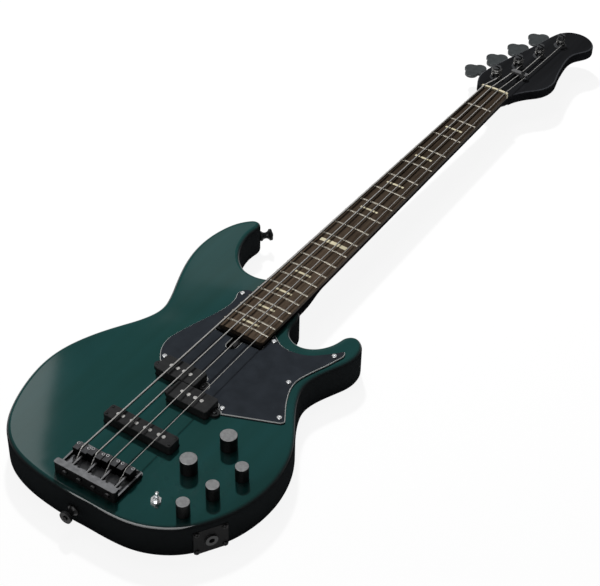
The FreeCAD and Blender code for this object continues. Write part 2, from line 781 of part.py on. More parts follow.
def make_body():
    """Body slab with its neck pocket, pickup pockets, cavities and drilled holes."""
    slab = prism(smooth_edges(body_points(), True), 0, BODY_THICKNESS)
    slab = slab.makeFillet(BODY_ROUND, edges_at(slab, 0) + edges_at(slab, BODY_TOP))
    top = BODY_TOP + OVERRUN
    cuts = [neck_plan(POCKET_CLEARANCE, HEEL_FLOOR, top, HEEL_END - POCKET_CLEARANCE, SCALE / 2)]
    cuts += rod_notch(BODY_TOP - ROD_NOTCH_DEPTH, top)
    for middle in SPLIT_MIDDLES:
        low = BODY_TOP - PICKUP_POCKET_DEPTH
        cuts.append(pickup_block(middle, SPLIT_LENGTH, SPLIT_WIDTH, low, top, PICKUP_POCKET_GAP))
    low = BODY_TOP - PICKUP_POCKET_DEPTH
    cuts.append(pickup_block(LONG_MIDDLE, LONG_LENGTH, LONG_WIDTH, low, top, PICKUP_POCKET_GAP))
    cuts.append(prism(smooth_edges(CAVITY_POINTS, True), -OVERRUN, CAVITY_TOP))
    rim = smooth_edges(grown(CAVITY_POINTS, COVER_LEDGE + COVER_PLATE_GAP), True)
    cuts.append(prism(rim, -OVERRUN, COVER_PLATE_INSET + COVER_PLATE_THICKNESS))
    tray = Vector(TRAY_MIDDLE.x, TRAY_MIDDLE.y, -OVERRUN)
    cuts.append(rounded_block(TRAY_LENGTH, TRAY_WIDTH, TRAY_HEIGHT + OVERRUN, TRAY_CORNER, tray))
    cuts += control_holes() + wire_holes() + back_holes() + side_cuts()
    cuts += screw_holes(guard_seats() + plate_seats() + pickup_seats(), SCREW_LENGTH)
    cuts += screw_holes(cover_seats(), SCREW_LENGTH, COVER_SCREW_SHARE)
    cuts += screw_holes(jack_seats(), SCREW_LENGTH)
    cuts += screw_holes(button_seats(), SCREW_LENGTH)
    cuts += screw_holes(long_seats(), LONG_SCREW_LENGTH, LONG_SCREW_SHARE)
    return slab.cut(cuts)


def rod_notch(low, high):
    """Round-ended notch that uncovers the truss rod nut behind the fretboard."""
    end = HEEL_END - ROD_NOTCH_LENGTH + ROD_NOTCH_WIDTH / 2
    half = ROD_NOTCH_WIDTH / 2
    slot = block(Vector(-half, end, low), Vector(half, HEEL_END + OVERRUN, high))
    return [slot, cylinder(half, Vector(0, end, low), UP, high - low)]


def control_holes():
    base = CAVITY_TOP - OVERRUN
    height = TOP_WOOD + 2 * OVERRUN
    holes = []
    for share in KNOB_PLACE_SHARES:
        holes.append(cylinder(POT_BUSHING_RADIUS, body_point(share, base), UP, height))
    holes.append(cylinder(TOGGLE_BUSHING_RADIUS, body_point(TOGGLE_PLACE_SHARES, base), UP, height))
    return holes


def wire_holes():
    """Drillings between the pickup pockets, the control cavity and the battery tray."""
    start = Vector(LONG_MIDDLE.x + LONG_LENGTH / 2, LONG_Y, WIRE_HOLE_RISE)
    reach = CAVITY_POINTS[0].x - start.x + COVER_LEDGE
    x = SPLIT_MIDDLES[1].x
    back = Vector(x, SPLIT_TREBLE_Y, WIRE_HOLE_RISE)
    return [
        cylinder(WIRE_HOLE_RADIUS, start, ACROSS, reach),
        cylinder(WIRE_HOLE_RADIUS, back, BACKWARD, SPLIT_TREBLE_Y - LONG_Y),
    ]


def back_holes():
    """Holes for the neck bolts and for the strings and their anchors."""
    holes = []
    for place in bolt_places():
        base = place + DOWN * OVERRUN
        holes.append(cylinder(BOLT_RADIUS, base, UP, HEEL_FLOOR + 2 * OVERRUN))
        holes.append(cylinder(FERRULE_RADIUS, base, UP, FERRULE_HEIGHT + FERRULE_INSET + OVERRUN))
    for index in STRINGS:
        base = Vector(bridge_x(index), -STRING_HOLE_SETBACK, -OVERRUN)
        holes.append(cylinder(STRING_HOLE_RADIUS, base, UP, BODY_TOP + 2 * OVERRUN))
        holes.append(cylinder(ANCHOR_RADIUS, base, UP, ANCHOR_HEIGHT + OVERRUN))
        holes.append(cylinder(ANCHOR_FLANGE, base, UP, ANCHOR_FLANGE_THICKNESS + OVERRUN))
    return holes


def side_cuts():
    """Flat seat of the jack plate on the body's side and the hole behind it."""
    half_x = JACK_PLATE_WIDTH / 2 + COVER_PLATE_GAP
    half_y = JACK_PLATE_HEIGHT / 2 + COVER_PLATE_GAP
    low = Vector(-half_x, -half_y, -JACK_PLATE_THICKNESS)
    seat = block(low, Vector(half_x, half_y, JACK_PLATE_WIDTH))
    depth = JACK_PLATE_THICKNESS + JACK_BARREL_LENGTH + JACK_HOLE_GAP
    hole = cylinder(JACK_BARREL_RADIUS + JACK_HOLE_GAP, Vector(0, 0, 0), DOWN, depth)
    return [placed(seat, JACK_FRAME), placed(hole, JACK_FRAME)]


def neck_section(y, width, depth, roundness):
    """Closed outline across the neck: flat on top, a superellipse below."""
    points = []
    for step in range(SECTION_STEPS + 1):
        angle = math.pi * step / SECTION_STEPS
        cosine = math.cos(angle)
        x = math.copysign(abs(cosine) ** (2 / roundness), cosine) * width / 2
        z = NECK_TOP - depth * math.sin(angle) ** (2 / roundness)
        points.append(Vector(x, y, z))
    points[0] = Vector(width / 2, y, NECK_TOP)
    points[-1] = Vector(-width / 2, y, NECK_TOP)
    return Part.Wire([spline(points, False).toShape(), line(points[-1], points[0])])


def blend(first, last, share):
    """Value between two others on a smooth S-shaped step."""
    return first + (last - first) * share * share * (3 - 2 * share)


def neck_sections():
    heel_top = HEEL_END + HEEL_LENGTH
    heel_depth = NECK_TOP - HEEL_FLOOR - HEEL_CLEARANCE
    sections = [neck_section(HEEL_END, board_width(HEEL_END), heel_depth, HEEL_ROUNDNESS)]
    for step in range(BLEND_STEPS + 1):
        share = step / BLEND_STEPS
        y = heel_top + HEEL_BLEND_LENGTH * share
        depth = blend(heel_depth, NECK_DEPTH_HEEL, share)
        sections.append(neck_section(y, board_width(y), depth, blend(HEEL_ROUNDNESS, NECK_ROUNDNESS, share)))
    for step in range(BLEND_STEPS + 1):
        share = step / BLEND_STEPS
        y = SCALE - HEAD_BLEND_SETBACK + HEAD_BLEND_LENGTH * share
        width = max(board_width(y), NUT_WIDTH)
        depth = blend(NECK_DEPTH_NUT, NECK_TOP - HEAD_BACK, share)
        sections.append(neck_section(y, width, depth, blend(NECK_ROUNDNESS, HEAD_ROUNDNESS, share)))
    return sections


def head_edges():
    points = [head_point(share) for share in HEAD_OUTLINE_SHARES]
    return smooth_edges(points, False) + [line(points[-1], points[0])]


def make_neck():
    """Neck shaft, heel and headstock in one piece of wood."""
    shaft = Part.makeLoft(neck_sections(), True, True)
    head = prism(head_edges(), HEAD_BACK, HEAD_TOP)
    join = head.BoundBox.YMin + LEVEL_SLACK
    rims = [e for z in (HEAD_TOP, HEAD_BACK) for e in edges_at(head, z) if e.BoundBox.YMax > join]
    head = head.makeFillet(HEAD_ROUND, rims)
    step_low = Vector(-HEAD_WIDTH, SCALE + NUT_LENGTH, HEAD_TOP)
    step = block(step_low, Vector(HEAD_WIDTH, SCALE + HEAD_LENGTH, NECK_TOP + OVERRUN))
    neck = shaft.cut(step).fuse(head)
    cuts = [cylinder(ROD_RADIUS, rod_start(), ALONG, rod_length())]
    slot_low = Vector(-ROD_RADIUS, HEEL_END - OVERRUN, NECK_TOP - ROD_DEPTH)
    cuts.append(block(slot_low, Vector(ROD_RADIUS, rod_start().y + rod_length(), NECK_TOP + OVERRUN)))
    for place in bolt_places():
        base = Vector(place.x, place.y, HEEL_FLOOR - OVERRUN)
        cuts.append(cylinder(BOLT_RADIUS, base, UP, BOLT_REACH + OVERRUN))
    for index in STRINGS:
        post = post_axis(index)
        base = Vector(post.x, post.y, HEAD_BACK - OVERRUN)
        cuts.append(cylinder(BUSHING_RADIUS, base, UP, HEAD_THICKNESS + 2 * OVERRUN))
    cuts += screw_holes(tuner_seats(), TUNER_SCREW_LENGTH)
    cuts += screw_holes([retainer_hole_seat()], SCREW_LENGTH)
    return neck.cut(cuts)


def board_solid(low):
    """Fretboard form with its cambered top, from a height up."""
    plan = neck_plan(0, low, BOARD_TOP + OVERRUN, BOARD_END, SCALE)
    ends = [e for e in upright_edges(plan) if e.BoundBox.YMax < BOARD_END + OVERRUN]
    plan = plan.makeFillet(BOARD_CORNER, ends)
    return plan.common(camber(BOARD_RADIUS))


def camber(radius):
    """Long cylinder that gives the board its cambered top."""
    return cylinder(radius, Vector(0, 0, BOARD_AXIS_Z), ALONG, SCALE + HEAD_LENGTH)


def make_fretboard():
    board = board_solid(NECK_TOP)
    slots = [fret_ring(n, FRET_TANG_WIDTH, -FRET_TANG_DEPTH, OVERRUN, 0) for n in range(1, FRET_COUNT + 1)]
    return board.cut(slots + marker_blocks(BOARD_TOP + OVERRUN))


def fret_ring(number, width, low, high, inset):
    """Curved bar across the board at a fret, between two heights over the board."""
    y = fret_y(number)
    half = math.asin((board_width(y) / 2 - inset) / BOARD_RADIUS)
    inner = BOARD_RADIUS + low
    outer = BOARD_RADIUS + high
    points = [Vector(0, y - width / 2, BOARD_AXIS_Z + inner), Vector(0, y + width / 2, BOARD_AXIS_Z + inner)]
    points += [Vector(0, y + width / 2, BOARD_AXIS_Z + outer), Vector(0, y - width / 2, BOARD_AXIS_Z + outer)]
    face = Part.Face(Part.makePolygon(points + points[:1]))
    return turned(face, half)


def turned(face, half):
    """Face swung about the camber's axis by the same angle to both sides."""
    axis_point = Vector(0, 0, BOARD_AXIS_Z)
    face.rotate(axis_point, ALONG, -math.degrees(half))
    return face.revolve(axis_point, ALONG, 2 * math.degrees(half))


def fret_crown(number):
    y = fret_y(number)
    half = math.asin((board_width(y) / 2 - FRET_INSET) / BOARD_RADIUS)
    low = BOARD_TOP
    start = Vector(0, y - FRET_WIDTH / 2, low)
    end = Vector(0, y + FRET_WIDTH / 2, low)
    arc = Part.Arc(start, Vector(0, y, low + FRET_HEIGHT), end).toShape()
    return turned(Part.Face(Part.Wire([arc, line(end, start)])), half)


def make_frets():
    frets = []
    for number in range(1, FRET_COUNT + 1):
        tang = fret_ring(number, FRET_TANG_WIDTH, -FRET_TANG_DEPTH, 0, FRET_INSET)
        frets.append(fret_crown(number).fuse(tang).removeSplitter())
    return group(frets)


def marker_blocks(high):
    """Blocks of the position markers, each midway between two frets."""
    sizes = [(number, MARKER_WIDTH, MARKER_LENGTH) for number in MARKER_FRETS]
    sizes.append((OCTAVE_FRET, OCTAVE_MARKER_WIDTH, OCTAVE_MARKER_LENGTH))
    blocks = []
    for number, width, length in sizes:
        y = (fret_y(number) + fret_y(number - 1)) / 2
        low = Vector(-width / 2, y - length / 2, BOARD_TOP - MARKER_DEPTH)
        blocks.append(block(low, Vector(width / 2, y + length / 2, high)))
    return blocks


def make_markers():
    form = camber(BOARD_RADIUS)
    return group([marker.common(form) for marker in marker_blocks(BOARD_TOP + OVERRUN)])


def make_nut():
    """Nut with one slot for each string, its top half way up the strings."""
    low = Vector(-NUT_WIDTH / 2, SCALE, NECK_TOP)
    nut = block(low, Vector(NUT_WIDTH / 2, SCALE + NUT_LENGTH, FRET_TOP + OVERRUN))
    nut = nut.common(camber(FRET_TOP + NUT_ACTION + string_radius(0) - BOARD_AXIS_Z))
    slots = []
    for index in STRINGS:
        point = string_point(index, SCALE)
        radius = string_radius(index) + NUT_SLOT_CLEARANCE
        base = Vector(point.x, SCALE - OVERRUN, point.z)
        slots.append(cylinder(radius, base, ALONG, NUT_LENGTH + 2 * OVERRUN))
        side = Vector(radius, 0, 0)
        high = base + side + Vector(0, NUT_LENGTH + 2 * OVERRUN, radius + OVERRUN)
        slots.append(block(base - side, high))
    return nut.cut(slots)


def rod_start():
    return Vector(0, HEEL_END - ROD_NUT_LENGTH, NECK_TOP - ROD_DEPTH)


def rod_length():
    return SCALE - ROD_END_GAP - rod_start().y


def make_truss_rod():
    rod = cylinder(ROD_RADIUS, rod_start(), ALONG, rod_length())
    collar = cylinder(ROD_NUT_RADIUS, rod_start(), ALONG, ROD_NUT_LENGTH - POCKET_CLEARANCE)
    collar = collar.cut(cylinder(ROD_RADIUS, rod_start(), ALONG, ROD_NUT_LENGTH))
    return group([rod, collar])


def make_neck_bolts():
    """Bolts that hold the neck, their heads sunk in the ferrules."""
    bolts = []
    for place in bolt_places():
        seat = place + UP * (FERRULE_INSET + BOLT_HEAD_HEIGHT)
        head = cylinder(BOLT_HEAD_RADIUS, seat, DOWN, BOLT_HEAD_HEIGHT)
        bolts.append(head.fuse(cylinder(BOLT_RADIUS, seat, UP, HEEL_FLOOR + BOLT_REACH - seat.z)))
    return bolts


def make_ferrules():
    """Neck bolt ferrules and string anchors, all let into the back."""
    rings = []
    for place in bolt_places():
        base = place + UP * FERRULE_INSET
        ring = cylinder(FERRULE_RADIUS, base, UP, FERRULE_HEIGHT)
        bore = cylinder(BOLT_RADIUS, base, UP, FERRULE_HEIGHT)
        rings.append(ring.cut(bore).cut(cylinder(BOLT_HEAD_RADIUS, base, UP, BOLT_HEAD_HEIGHT)))
    for index in STRINGS:
        base = Vector(bridge_x(index), -STRING_HOLE_SETBACK, 0)
        ring = cylinder(ANCHOR_RADIUS, base, UP, ANCHOR_HEIGHT)
        ring = ring.fuse(cylinder(ANCHOR_FLANGE, base, UP, ANCHOR_FLANGE_THICKNESS))
        ring = ring.cut(cylinder(BALL_RADIUS + BALL_CLEARANCE, base, UP, ANCHOR_SEAT))
        rings.append(ring.cut(cylinder(string_radius(index) + BALL_CLEARANCE, base, UP, ANCHOR_HEIGHT)))
    return rings


def guard_edges():
    """Outline of the pickguard: two curved sides and a straight lower right edge."""
    left = [guard_point(share) for share in GUARD_LEFT_SHARES]
    lower = [guard_point(share) for share in GUARD_LOWER_SHARES]
    corner = [guard_point(share) for share in GUARD_CORNER_SHARES]
    right = [guard_point(share) for share in GUARD_RIGHT_SHARES]
    straight = [left[-1]] + lower + corner[:2]
    edges = smooth_edges(left, False)
    edges += [line(start, end) for start, end in zip(straight, straight[1:])]
    edges.append(tangent_arc(corner[1], corner[2], right[0]))
    edges += smooth_edges(right, False)
    edges.append(line(right[-1], left[0]))
    return edges


def make_pickguard():
    top = BODY_TOP + GUARD_THICKNESS
    guard = prism(guard_edges(), BODY_TOP, top)
    low = BODY_TOP - OVERRUN
    high = top + OVERRUN
    start = BOARD_END - HEEL_SETBACK - GUARD_NECK_GAP
    cuts = [neck_plan(GUARD_NECK_GAP, low, high, start, SCALE / 2)]
    cuts += rod_notch(low, high)
    for middle in SPLIT_MIDDLES:
        cuts.append(pickup_block(middle, SPLIT_LENGTH, SPLIT_WIDTH, low, high, GUARD_PICKUP_GAP))
        cuts += ears(middle, EAR_RADIUS + GUARD_PICKUP_GAP, low, high)
    cuts += screw_holes(guard_seats(), SCREW_LENGTH)
    return largest(guard.cut(cuts))


def largest(shape):
    """The biggest solid of a cut, without the crumbs that it leaves."""
    return max(shape.Solids, key=lambda solid: solid.Volume)


def cover_shell(middle, length, width, rise, poles, pole_radius):
    """Open-bottomed pickup cover with holes for its poles."""
    high = BODY_TOP + rise
    low = high - COVER_HEIGHT
    outer = pickup_block(middle, length, width, low, high, 0)
    outer = outer.makeFillet(COVER_EDGE, edges_at(outer, high))
    inner = pickup_block(middle, length, width, low - OVERRUN, high - COVER_WALL, -COVER_WALL)
    holes = [cylinder(pole_radius + POLE_CLEARANCE, place + UP * low, UP, COVER_HEIGHT) for place in poles]
    return outer, [inner] + holes


def make_split_covers():
    covers = []
    for middle, poles in zip(SPLIT_MIDDLES, (BASS_POLES, TREBLE_POLES)):
        outer, cuts = cover_shell(middle, SPLIT_LENGTH, SPLIT_WIDTH, SPLIT_RISE, poles, SPLIT_POLE_RADIUS)
        low = BODY_TOP + EAR_LIFT
        outer = outer.fuse(ears(middle, EAR_RADIUS, low, low + EAR_THICKNESS)).removeSplitter()
        covers.append(outer.cut(cuts + screw_holes(pickup_seats(), SCREW_LENGTH)))
    return group(covers)


def make_long_cover():
    outer, cuts = cover_shell(LONG_MIDDLE, LONG_LENGTH, LONG_WIDTH, LONG_RISE, LONG_POLES, LONG_POLE_RADIUS)
    return outer.cut(cuts + screw_holes(long_seats(), LONG_SCREW_LENGTH, LONG_SCREW_SHARE))


def make_pickup_screws():
    screws = screws_at(pickup_seats(), SCREW_LENGTH)
    return group(screws + screws_at(long_seats(), LONG_SCREW_LENGTH, LONG_SCREW_SHARE))


def pickups():
    """Middle, length, width, rise, poles and pole radius of each of the three coils."""
    rows = []
    for middle, poles in zip(SPLIT_MIDDLES, (BASS_POLES, TREBLE_POLES)):
        rows.append((middle, SPLIT_LENGTH, SPLIT_WIDTH, SPLIT_RISE, poles, SPLIT_POLE_RADIUS))
    rows.append((LONG_MIDDLE, LONG_LENGTH, LONG_WIDTH, LONG_RISE, LONG_POLES, LONG_POLE_RADIUS))
    return rows


def make_coils():
    """Wound bobbins under the covers, one for each pickup."""
    coils = []
    for middle, length, width, rise, poles, radius in pickups():
        high = BODY_TOP + rise - COVER_WALL
        low = high - COIL_HEIGHT
        inset = -(COVER_WALL + COIL_GAP)
        coil = pickup_block(middle, length - 2 * COIL_END_GAP, width, low, high, inset)
        holes = [cylinder(radius, place + UP * low, UP, COIL_HEIGHT) for place in poles]
        coils.append(coil.cut(holes))
    return group(coils)


def make_poles():
    poles = []
    for _, _, _, rise, places, radius in pickups():
        low = BODY_TOP + rise - COVER_WALL - COIL_HEIGHT
        high = BODY_TOP + rise + POLE_PROUD
        for place in places:
            pole = cylinder(radius, place + UP * low, UP, high - low)
            poles.append(pole.makeFillet(POLE_PROUD / 2, edges_at(pole, high)))
    return group(poles)


def make_foam():
    """Foam pads that press the coils up against their covers."""
    pads = []
    for middle, length, width, rise, _, _ in pickups():
        low = BODY_TOP - PICKUP_POCKET_DEPTH
        high = BODY_TOP + rise - COVER_WALL - COIL_HEIGHT
        inner = length - 2 * COIL_END_GAP
        pads.append(pickup_block(middle, inner, width, low, high, -(COVER_WALL + COIL_GAP)))
    return group(pads)


def make_bridge_plate():
    """Base plate, thick tail block and low side rails bent from one piece."""
    rear = -(BLOCK_FRONT_SETBACK + BLOCK_LENGTH)
    length = PLATE_FRONT - rear
    base = Vector(0, rear + length / 2, BODY_TOP)
    plate = rounded_block(PLATE_WIDTH, length, PLATE_THICKNESS, PLATE_CORNER, base)
    tail_base = Vector(0, rear + BLOCK_LENGTH / 2, BODY_TOP)
    tail = rounded_block(PLATE_WIDTH, BLOCK_LENGTH, BLOCK_HEIGHT, BLOCK_ROUND, tail_base)
    rails = []
    half = PLATE_WIDTH / 2
    for side in (-1, 1):
        left, right = sorted((side * half, side * (half - RAIL_THICKNESS)))
        low = Vector(left, rear + BLOCK_ROUND, BODY_TOP)
        rails.append(block(low, Vector(right, PLATE_FRONT - PLATE_CORNER, BODY_TOP + RAIL_HEIGHT)))
    plate = plate.fuse([tail] + rails).removeSplitter()
    cuts = screw_holes(plate_seats(), SCREW_LENGTH)
    for index in STRINGS:
        hole = Vector(bridge_x(index), -STRING_HOLE_SETBACK, BODY_TOP - OVERRUN)
        cuts.append(cylinder(STRING_HOLE_RADIUS, hole, UP, PLATE_THICKNESS + 2 * OVERRUN))
        start = setting_screw_axis(index, rear - OVERRUN)
        cuts.append(cylinder(SETTING_SCREW_RADIUS + SCREW_FIT, start, ALONG, BLOCK_LENGTH + 2 * OVERRUN))
    return plate.cut(cuts)


def setting_screw_axis(index, y):
    return Vector(bridge_x(index) + SETTING_SCREW_OFFSET, y, SETTING_SCREW_Z)


def saddle_crown(index):
    """Highest point of a saddle, just under its string."""
    point = string_point(index, -SADDLE_SETBACKS[index])
    return point - UP * (string_radius(index) + SADDLE_CLEARANCE)


def make_saddle(index):
    """Saddle block with a sloped string channel, and its two height screws."""
    crown = saddle_crown(index)
    bottom = PLATE_TOP + SADDLE_LIFT
    shoulder = crown.z + SADDLE_SHOULDER
    half = SADDLE_WIDTH / 2
    low = Vector(crown.x - half, crown.y - SADDLE_REAR, bottom)
    saddle = block(low, Vector(crown.x + half, crown.y + SADDLE_FRONT, shoulder))
    run = SADDLE_REAR + OVERRUN
    profile = [Vector(0, crown.y + SADDLE_FRONT + OVERRUN, crown.z), Vector(0, crown.y, crown.z)]
    profile.append(Vector(0, crown.y - run, crown.z - run * SADDLE_SLOPE_SHARE))
    profile.append(Vector(0, crown.y - run, shoulder + OVERRUN))
    profile.append(Vector(0, crown.y + SADDLE_FRONT + OVERRUN, shoulder + OVERRUN))
    channel = Part.Face(Part.makePolygon(profile + profile[:1]))
    channel.translate(Vector(crown.x - SADDLE_SLOT / 2, 0, 0))
    channel = channel.extrude(Vector(SADDLE_SLOT, 0, 0))
    rims = [e for e in edges_at(saddle, shoulder) if e.Length > SADDLE_REAR + SADDLE_FRONT + SADDLE_CROWN]
    saddle = saddle.makeFillet(SADDLE_CROWN, rims).cut(channel)
    start = setting_screw_axis(index, crown.y - run)
    reach = run + SADDLE_FRONT + OVERRUN
    saddle = saddle.cut(cylinder(SETTING_SCREW_RADIUS + SCREW_FIT, start, ALONG, reach))
    parts = [saddle]
    for side in (-1, 1):
        foot = Vector(crown.x + side * HEIGHT_SCREW_SPREAD / 2, crown.y, PLATE_TOP + HEIGHT_SCREW_FOOT)
        height = shoulder + HEIGHT_SCREW_PROUD - foot.z
        screw = cylinder(HEIGHT_SCREW_RADIUS, foot, UP, height)
        parts[0] = parts[0].cut(screw)
        parts.append(screw)
    return group([largest(parts[0])] + parts[1:])


def make_setting_screw(index):
    """Screw that runs from the tail block through its saddle."""
    rear = -(BLOCK_FRONT_SETBACK + BLOCK_LENGTH + SADDLE_CLEARANCE)
    start = setting_screw_axis(index, rear)
    tip = -SADDLE_SETBACKS[index] + SETTING_SCREW_TIP
    screw = cylinder(SETTING_SCREW_RADIUS, start, ALONG, tip - rear)
    head = cylinder(SETTING_SCREW_HEAD, start, BACKWARD, SETTING_SCREW_HEAD_LENGTH)
    return screw.fuse(head)


def tangent_arc(start, corner, end):
    """Arc from start to end whose end tangents meet at a corner as far from each."""
    middle = (start + end) * (1 / 2)
    half = (end - start).Length / 2
    leg = (corner - start).Length
    rise = (corner - middle).Length
    if rise < FLAT_SHARE * leg:
        return line(start, end)
    top = middle + (corner - middle) * (half * (leg - half) / rise ** 2)
    return Part.Arc(start, top, end).toShape()


def rounded_path(points, radii):
    """Straight runs through points, with an arc of a given radius at each inner one."""
    edges = []
    start = points[0]
    for before, corner, after, radius in zip(points, points[1:], points[2:], radii):
        back = (before - corner).normalize()
        ahead = (after - corner).normalize()
        turn = math.pi - back.getAngle(ahead)
        leg = radius * math.tan(turn / 2)
        enter = corner + back * leg
        leave = corner + ahead * leg
        edges.append(line(start, enter))
        edges.append(tangent_arc(enter, corner, leave))
        start = leave
    edges.append(line(start, points[-1]))
    return edges


def sweep(edges, radius, start, direction):
    """Round bar along a path, as one solid."""
    profile = Part.Wire([Part.makeCircle(radius, start, direction)])
    return Part.Wire(edges).makePipeShell([profile], True, False)


POST_ALONG = Vector(POST_STEP_X, POST_STEP_Y, 0).normalize()


def post_axis(index):
    x = POST_FIRST_X + POST_STEP_X * index
    return Vector(x, SCALE + POST_FIRST_Y + POST_STEP_Y * index, 0)


def tuner_frame(index):
    """Frame on the back of the headstock: X along the row of posts, Y out to the keys."""
    origin = post_axis(index) + UP * HEAD_BACK
    return frame(origin, POST_ALONG, UP)


RETAINER_UNDERSIDE = HEAD_TOP + RETAINER_LIFT
NUT_BREAK = SCALE + NUT_LENGTH / 2


def touch_point(index):
    """Where a string first touches the circle that it makes round its post, in plan."""
    nut = string_point(index, NUT_BREAK)
    post = post_axis(index)
    radius = POST_RADIUS + WRAP_CLEARANCE + string_radius(index)
    x = post.x - nut.x
    y = post.y - nut.y
    reach = math.hypot(x, y)
    swing = math.asin(radius / reach)
    cosine = math.cos(swing)
    sine = math.sin(swing)
    direction = Vector(x * cosine + y * sine, y * cosine - x * sine, 0)
    direction.normalize()
    return direction, Vector(nut.x, nut.y, 0) + direction * math.sqrt(reach ** 2 - radius ** 2)


def string_level(index):
    """Height of a string behind the retainer and round its post."""
    return RETAINER_UNDERSIDE - string_radius(index) - WINDING_CLEARANCE


def level_point(index):
    """Where a string has come down to its level on the way to its post."""
    direction, touch = touch_point(index)
    back = max(LEVEL_RUN, (touch.y - SCALE - RETAINER_Y) / direction.y)
    point = touch - direction * back
    return Vector(point.x, point.y, string_level(index))


def make_string(index):
    """String from its ball in the back, over saddle and nut, to its first turn on the post."""
    radius = string_radius(index)
    x = bridge_x(index)
    y = -STRING_HOLE_SETBACK
    ball_top = ANCHOR_SEAT
    start = Vector(x, y, ball_top)
    knee = Vector(x, y, PLATE_TOP)
    bend = string_point(index, -SADDLE_SETBACKS[index] - SADDLE_TRAVEL - BEND_MARGIN)
    nut = string_point(index, NUT_BREAK)
    level = level_point(index)
    direction, touch = touch_point(index)
    touch = Vector(touch.x, touch.y, level.z)
    points = [start, knee, bend, nut, level, touch]
    edges = rounded_path(points, (KNEE_RADIUS, BEND_RADIUS, NUT_BEND_RADIUS, NUT_BEND_RADIUS))
    post = post_axis(index) + UP * level.z
    turn = 2 * math.pi * WRAP_TURN_SHARE
    edges.append(Part.Arc(touch, swung(post, touch, turn / 2), swung(post, touch, turn)).toShape())
    string = sweep(edges, radius, start, UP)
    expected = math.pi * radius ** 2 * sum(edge.Length for edge in edges)
    print("string", STRING_NAMES[index], "volume share of section times length", string.Volume / expected)
    ball = cylinder(BALL_RADIUS, start, DOWN, BALL_HEIGHT)
    return [string, ball]


def swung(centre, point, angle):
    """Point turned about an upright axis."""
    arm = point - centre
    x = arm.x * math.cos(angle) - arm.y * math.sin(angle)
    y = arm.x * math.sin(angle) + arm.y * math.cos(angle)
    return centre + Vector(x, y, arm.z)


def make_winding(index):
    """Turns of a string round its post, above where the string arrives."""
    radius = string_radius(index)
    diameter = STRING_DIAMETERS[index]
    lead = diameter + WINDING_GAP
    _, touch = touch_point(index)
    post = post_axis(index) + UP * (string_level(index) + lead)
    arm = touch - post_axis(index)
    first = post + arm.normalize() * (POST_RADIUS + radius + WINDING_CLEARANCE)
    count = WINDING_TURNS * QUARTERS
    quarter = 2 * math.pi / QUARTERS
    points = [swung(post, first, step * quarter) + UP * (lead * step / QUARTERS) for step in range(count + 1)]
    tangents = []
    for point in points:
        out = Vector(point.x - post.x, point.y - post.y, 0)
        tangents.append((UP.cross(out) + UP * (lead / (2 * math.pi))).normalize())
    start = points[0] - tangents[0] * diameter
    end = points[-1] + tangents[-1] * diameter
    edges = [line(start, points[0])]
    for step in range(count):
        edges += biarc(points[step], tangents[step], points[step + 1], tangents[step + 1])
    edges.append(line(points[-1], end))
    print("winding", STRING_NAMES[index], "least gap to itself", self_gap(edges, radius, lead))
    return sweep(edges, radius, start, tangents[0])


def biarc(start, start_way, end, end_way):
    """Two arcs that join two points and follow the given directions there."""
    gap = end - start
    both = start_way + end_way
    a = 2 * (start_way.dot(end_way) - 1)
    b = -2 * gap.dot(both)
    c = gap.dot(gap)
    if abs(a) < FLAT_SHARE:
        leg = -c / b
    else:
        leg = (-b - math.sqrt(b * b - 4 * a * c)) / (2 * a)
    first = start + start_way * leg
    last = end - end_way * leg
    joint = (first + last) * (1 / 2)
    return [tangent_arc(start, first, joint), tangent_arc(joint, last, end)]


def self_gap(edges, radius, lead):
    """Least distance between the skins of neighbouring turns, measured on points."""
    points = [point for edge in edges for point in edge.discretize(SECTION_STEPS)]
    apart = 2 * SECTION_STEPS * QUARTERS - SECTION_STEPS
    least = None
    for index, point in enumerate(points):
        for other in points[index + apart:]:
            distance = (other - point).Length - 2 * radius
            least = distance if least is None else min(least, distance)
    return least


def make_bushings():
    """Sleeves with a flange round each post on the face of the headstock."""
    bushings = []
    for index in STRINGS:
        base = post_axis(index) + UP * HEAD_TOP
        flange = Part.makeCone(BUSHING_FLANGE, BUSHING_RADIUS, BUSHING_FLANGE_HEIGHT, base, UP)
        sleeve = cylinder(BUSHING_RADIUS, base, DOWN, BUSHING_LENGTH)
        low = base + DOWN * BUSHING_LENGTH
        bore = cylinder(POST_RADIUS + SHAFT_FIT, low, UP, BUSHING_LENGTH + BUSHING_FLANGE_HEIGHT)
        bushings.append(flange.fuse(sleeve).cut(bore))
    return group(bushings)


def tuner_plate_middle():
    return Vector(TUNER_PLATE_OFFSET, 0, -TUNER_PLATE_THICKNESS)


def tuner_seats():
    """Seats of the screws at the corners of the four tuner plates."""
    x = TUNER_PLATE_ALONG / 2 - TUNER_SCREW_INSET
    y = TUNER_PLATE_ACROSS / 2 - TUNER_SCREW_INSET
    seats = []
    for index in STRINGS:
        for sx in (-1, 1):
            local = tuner_plate_middle() + Vector(sx * x, -sx * y, 0)
            seats.append((tuner_frame(index).multVec(local), DOWN))
    return seats


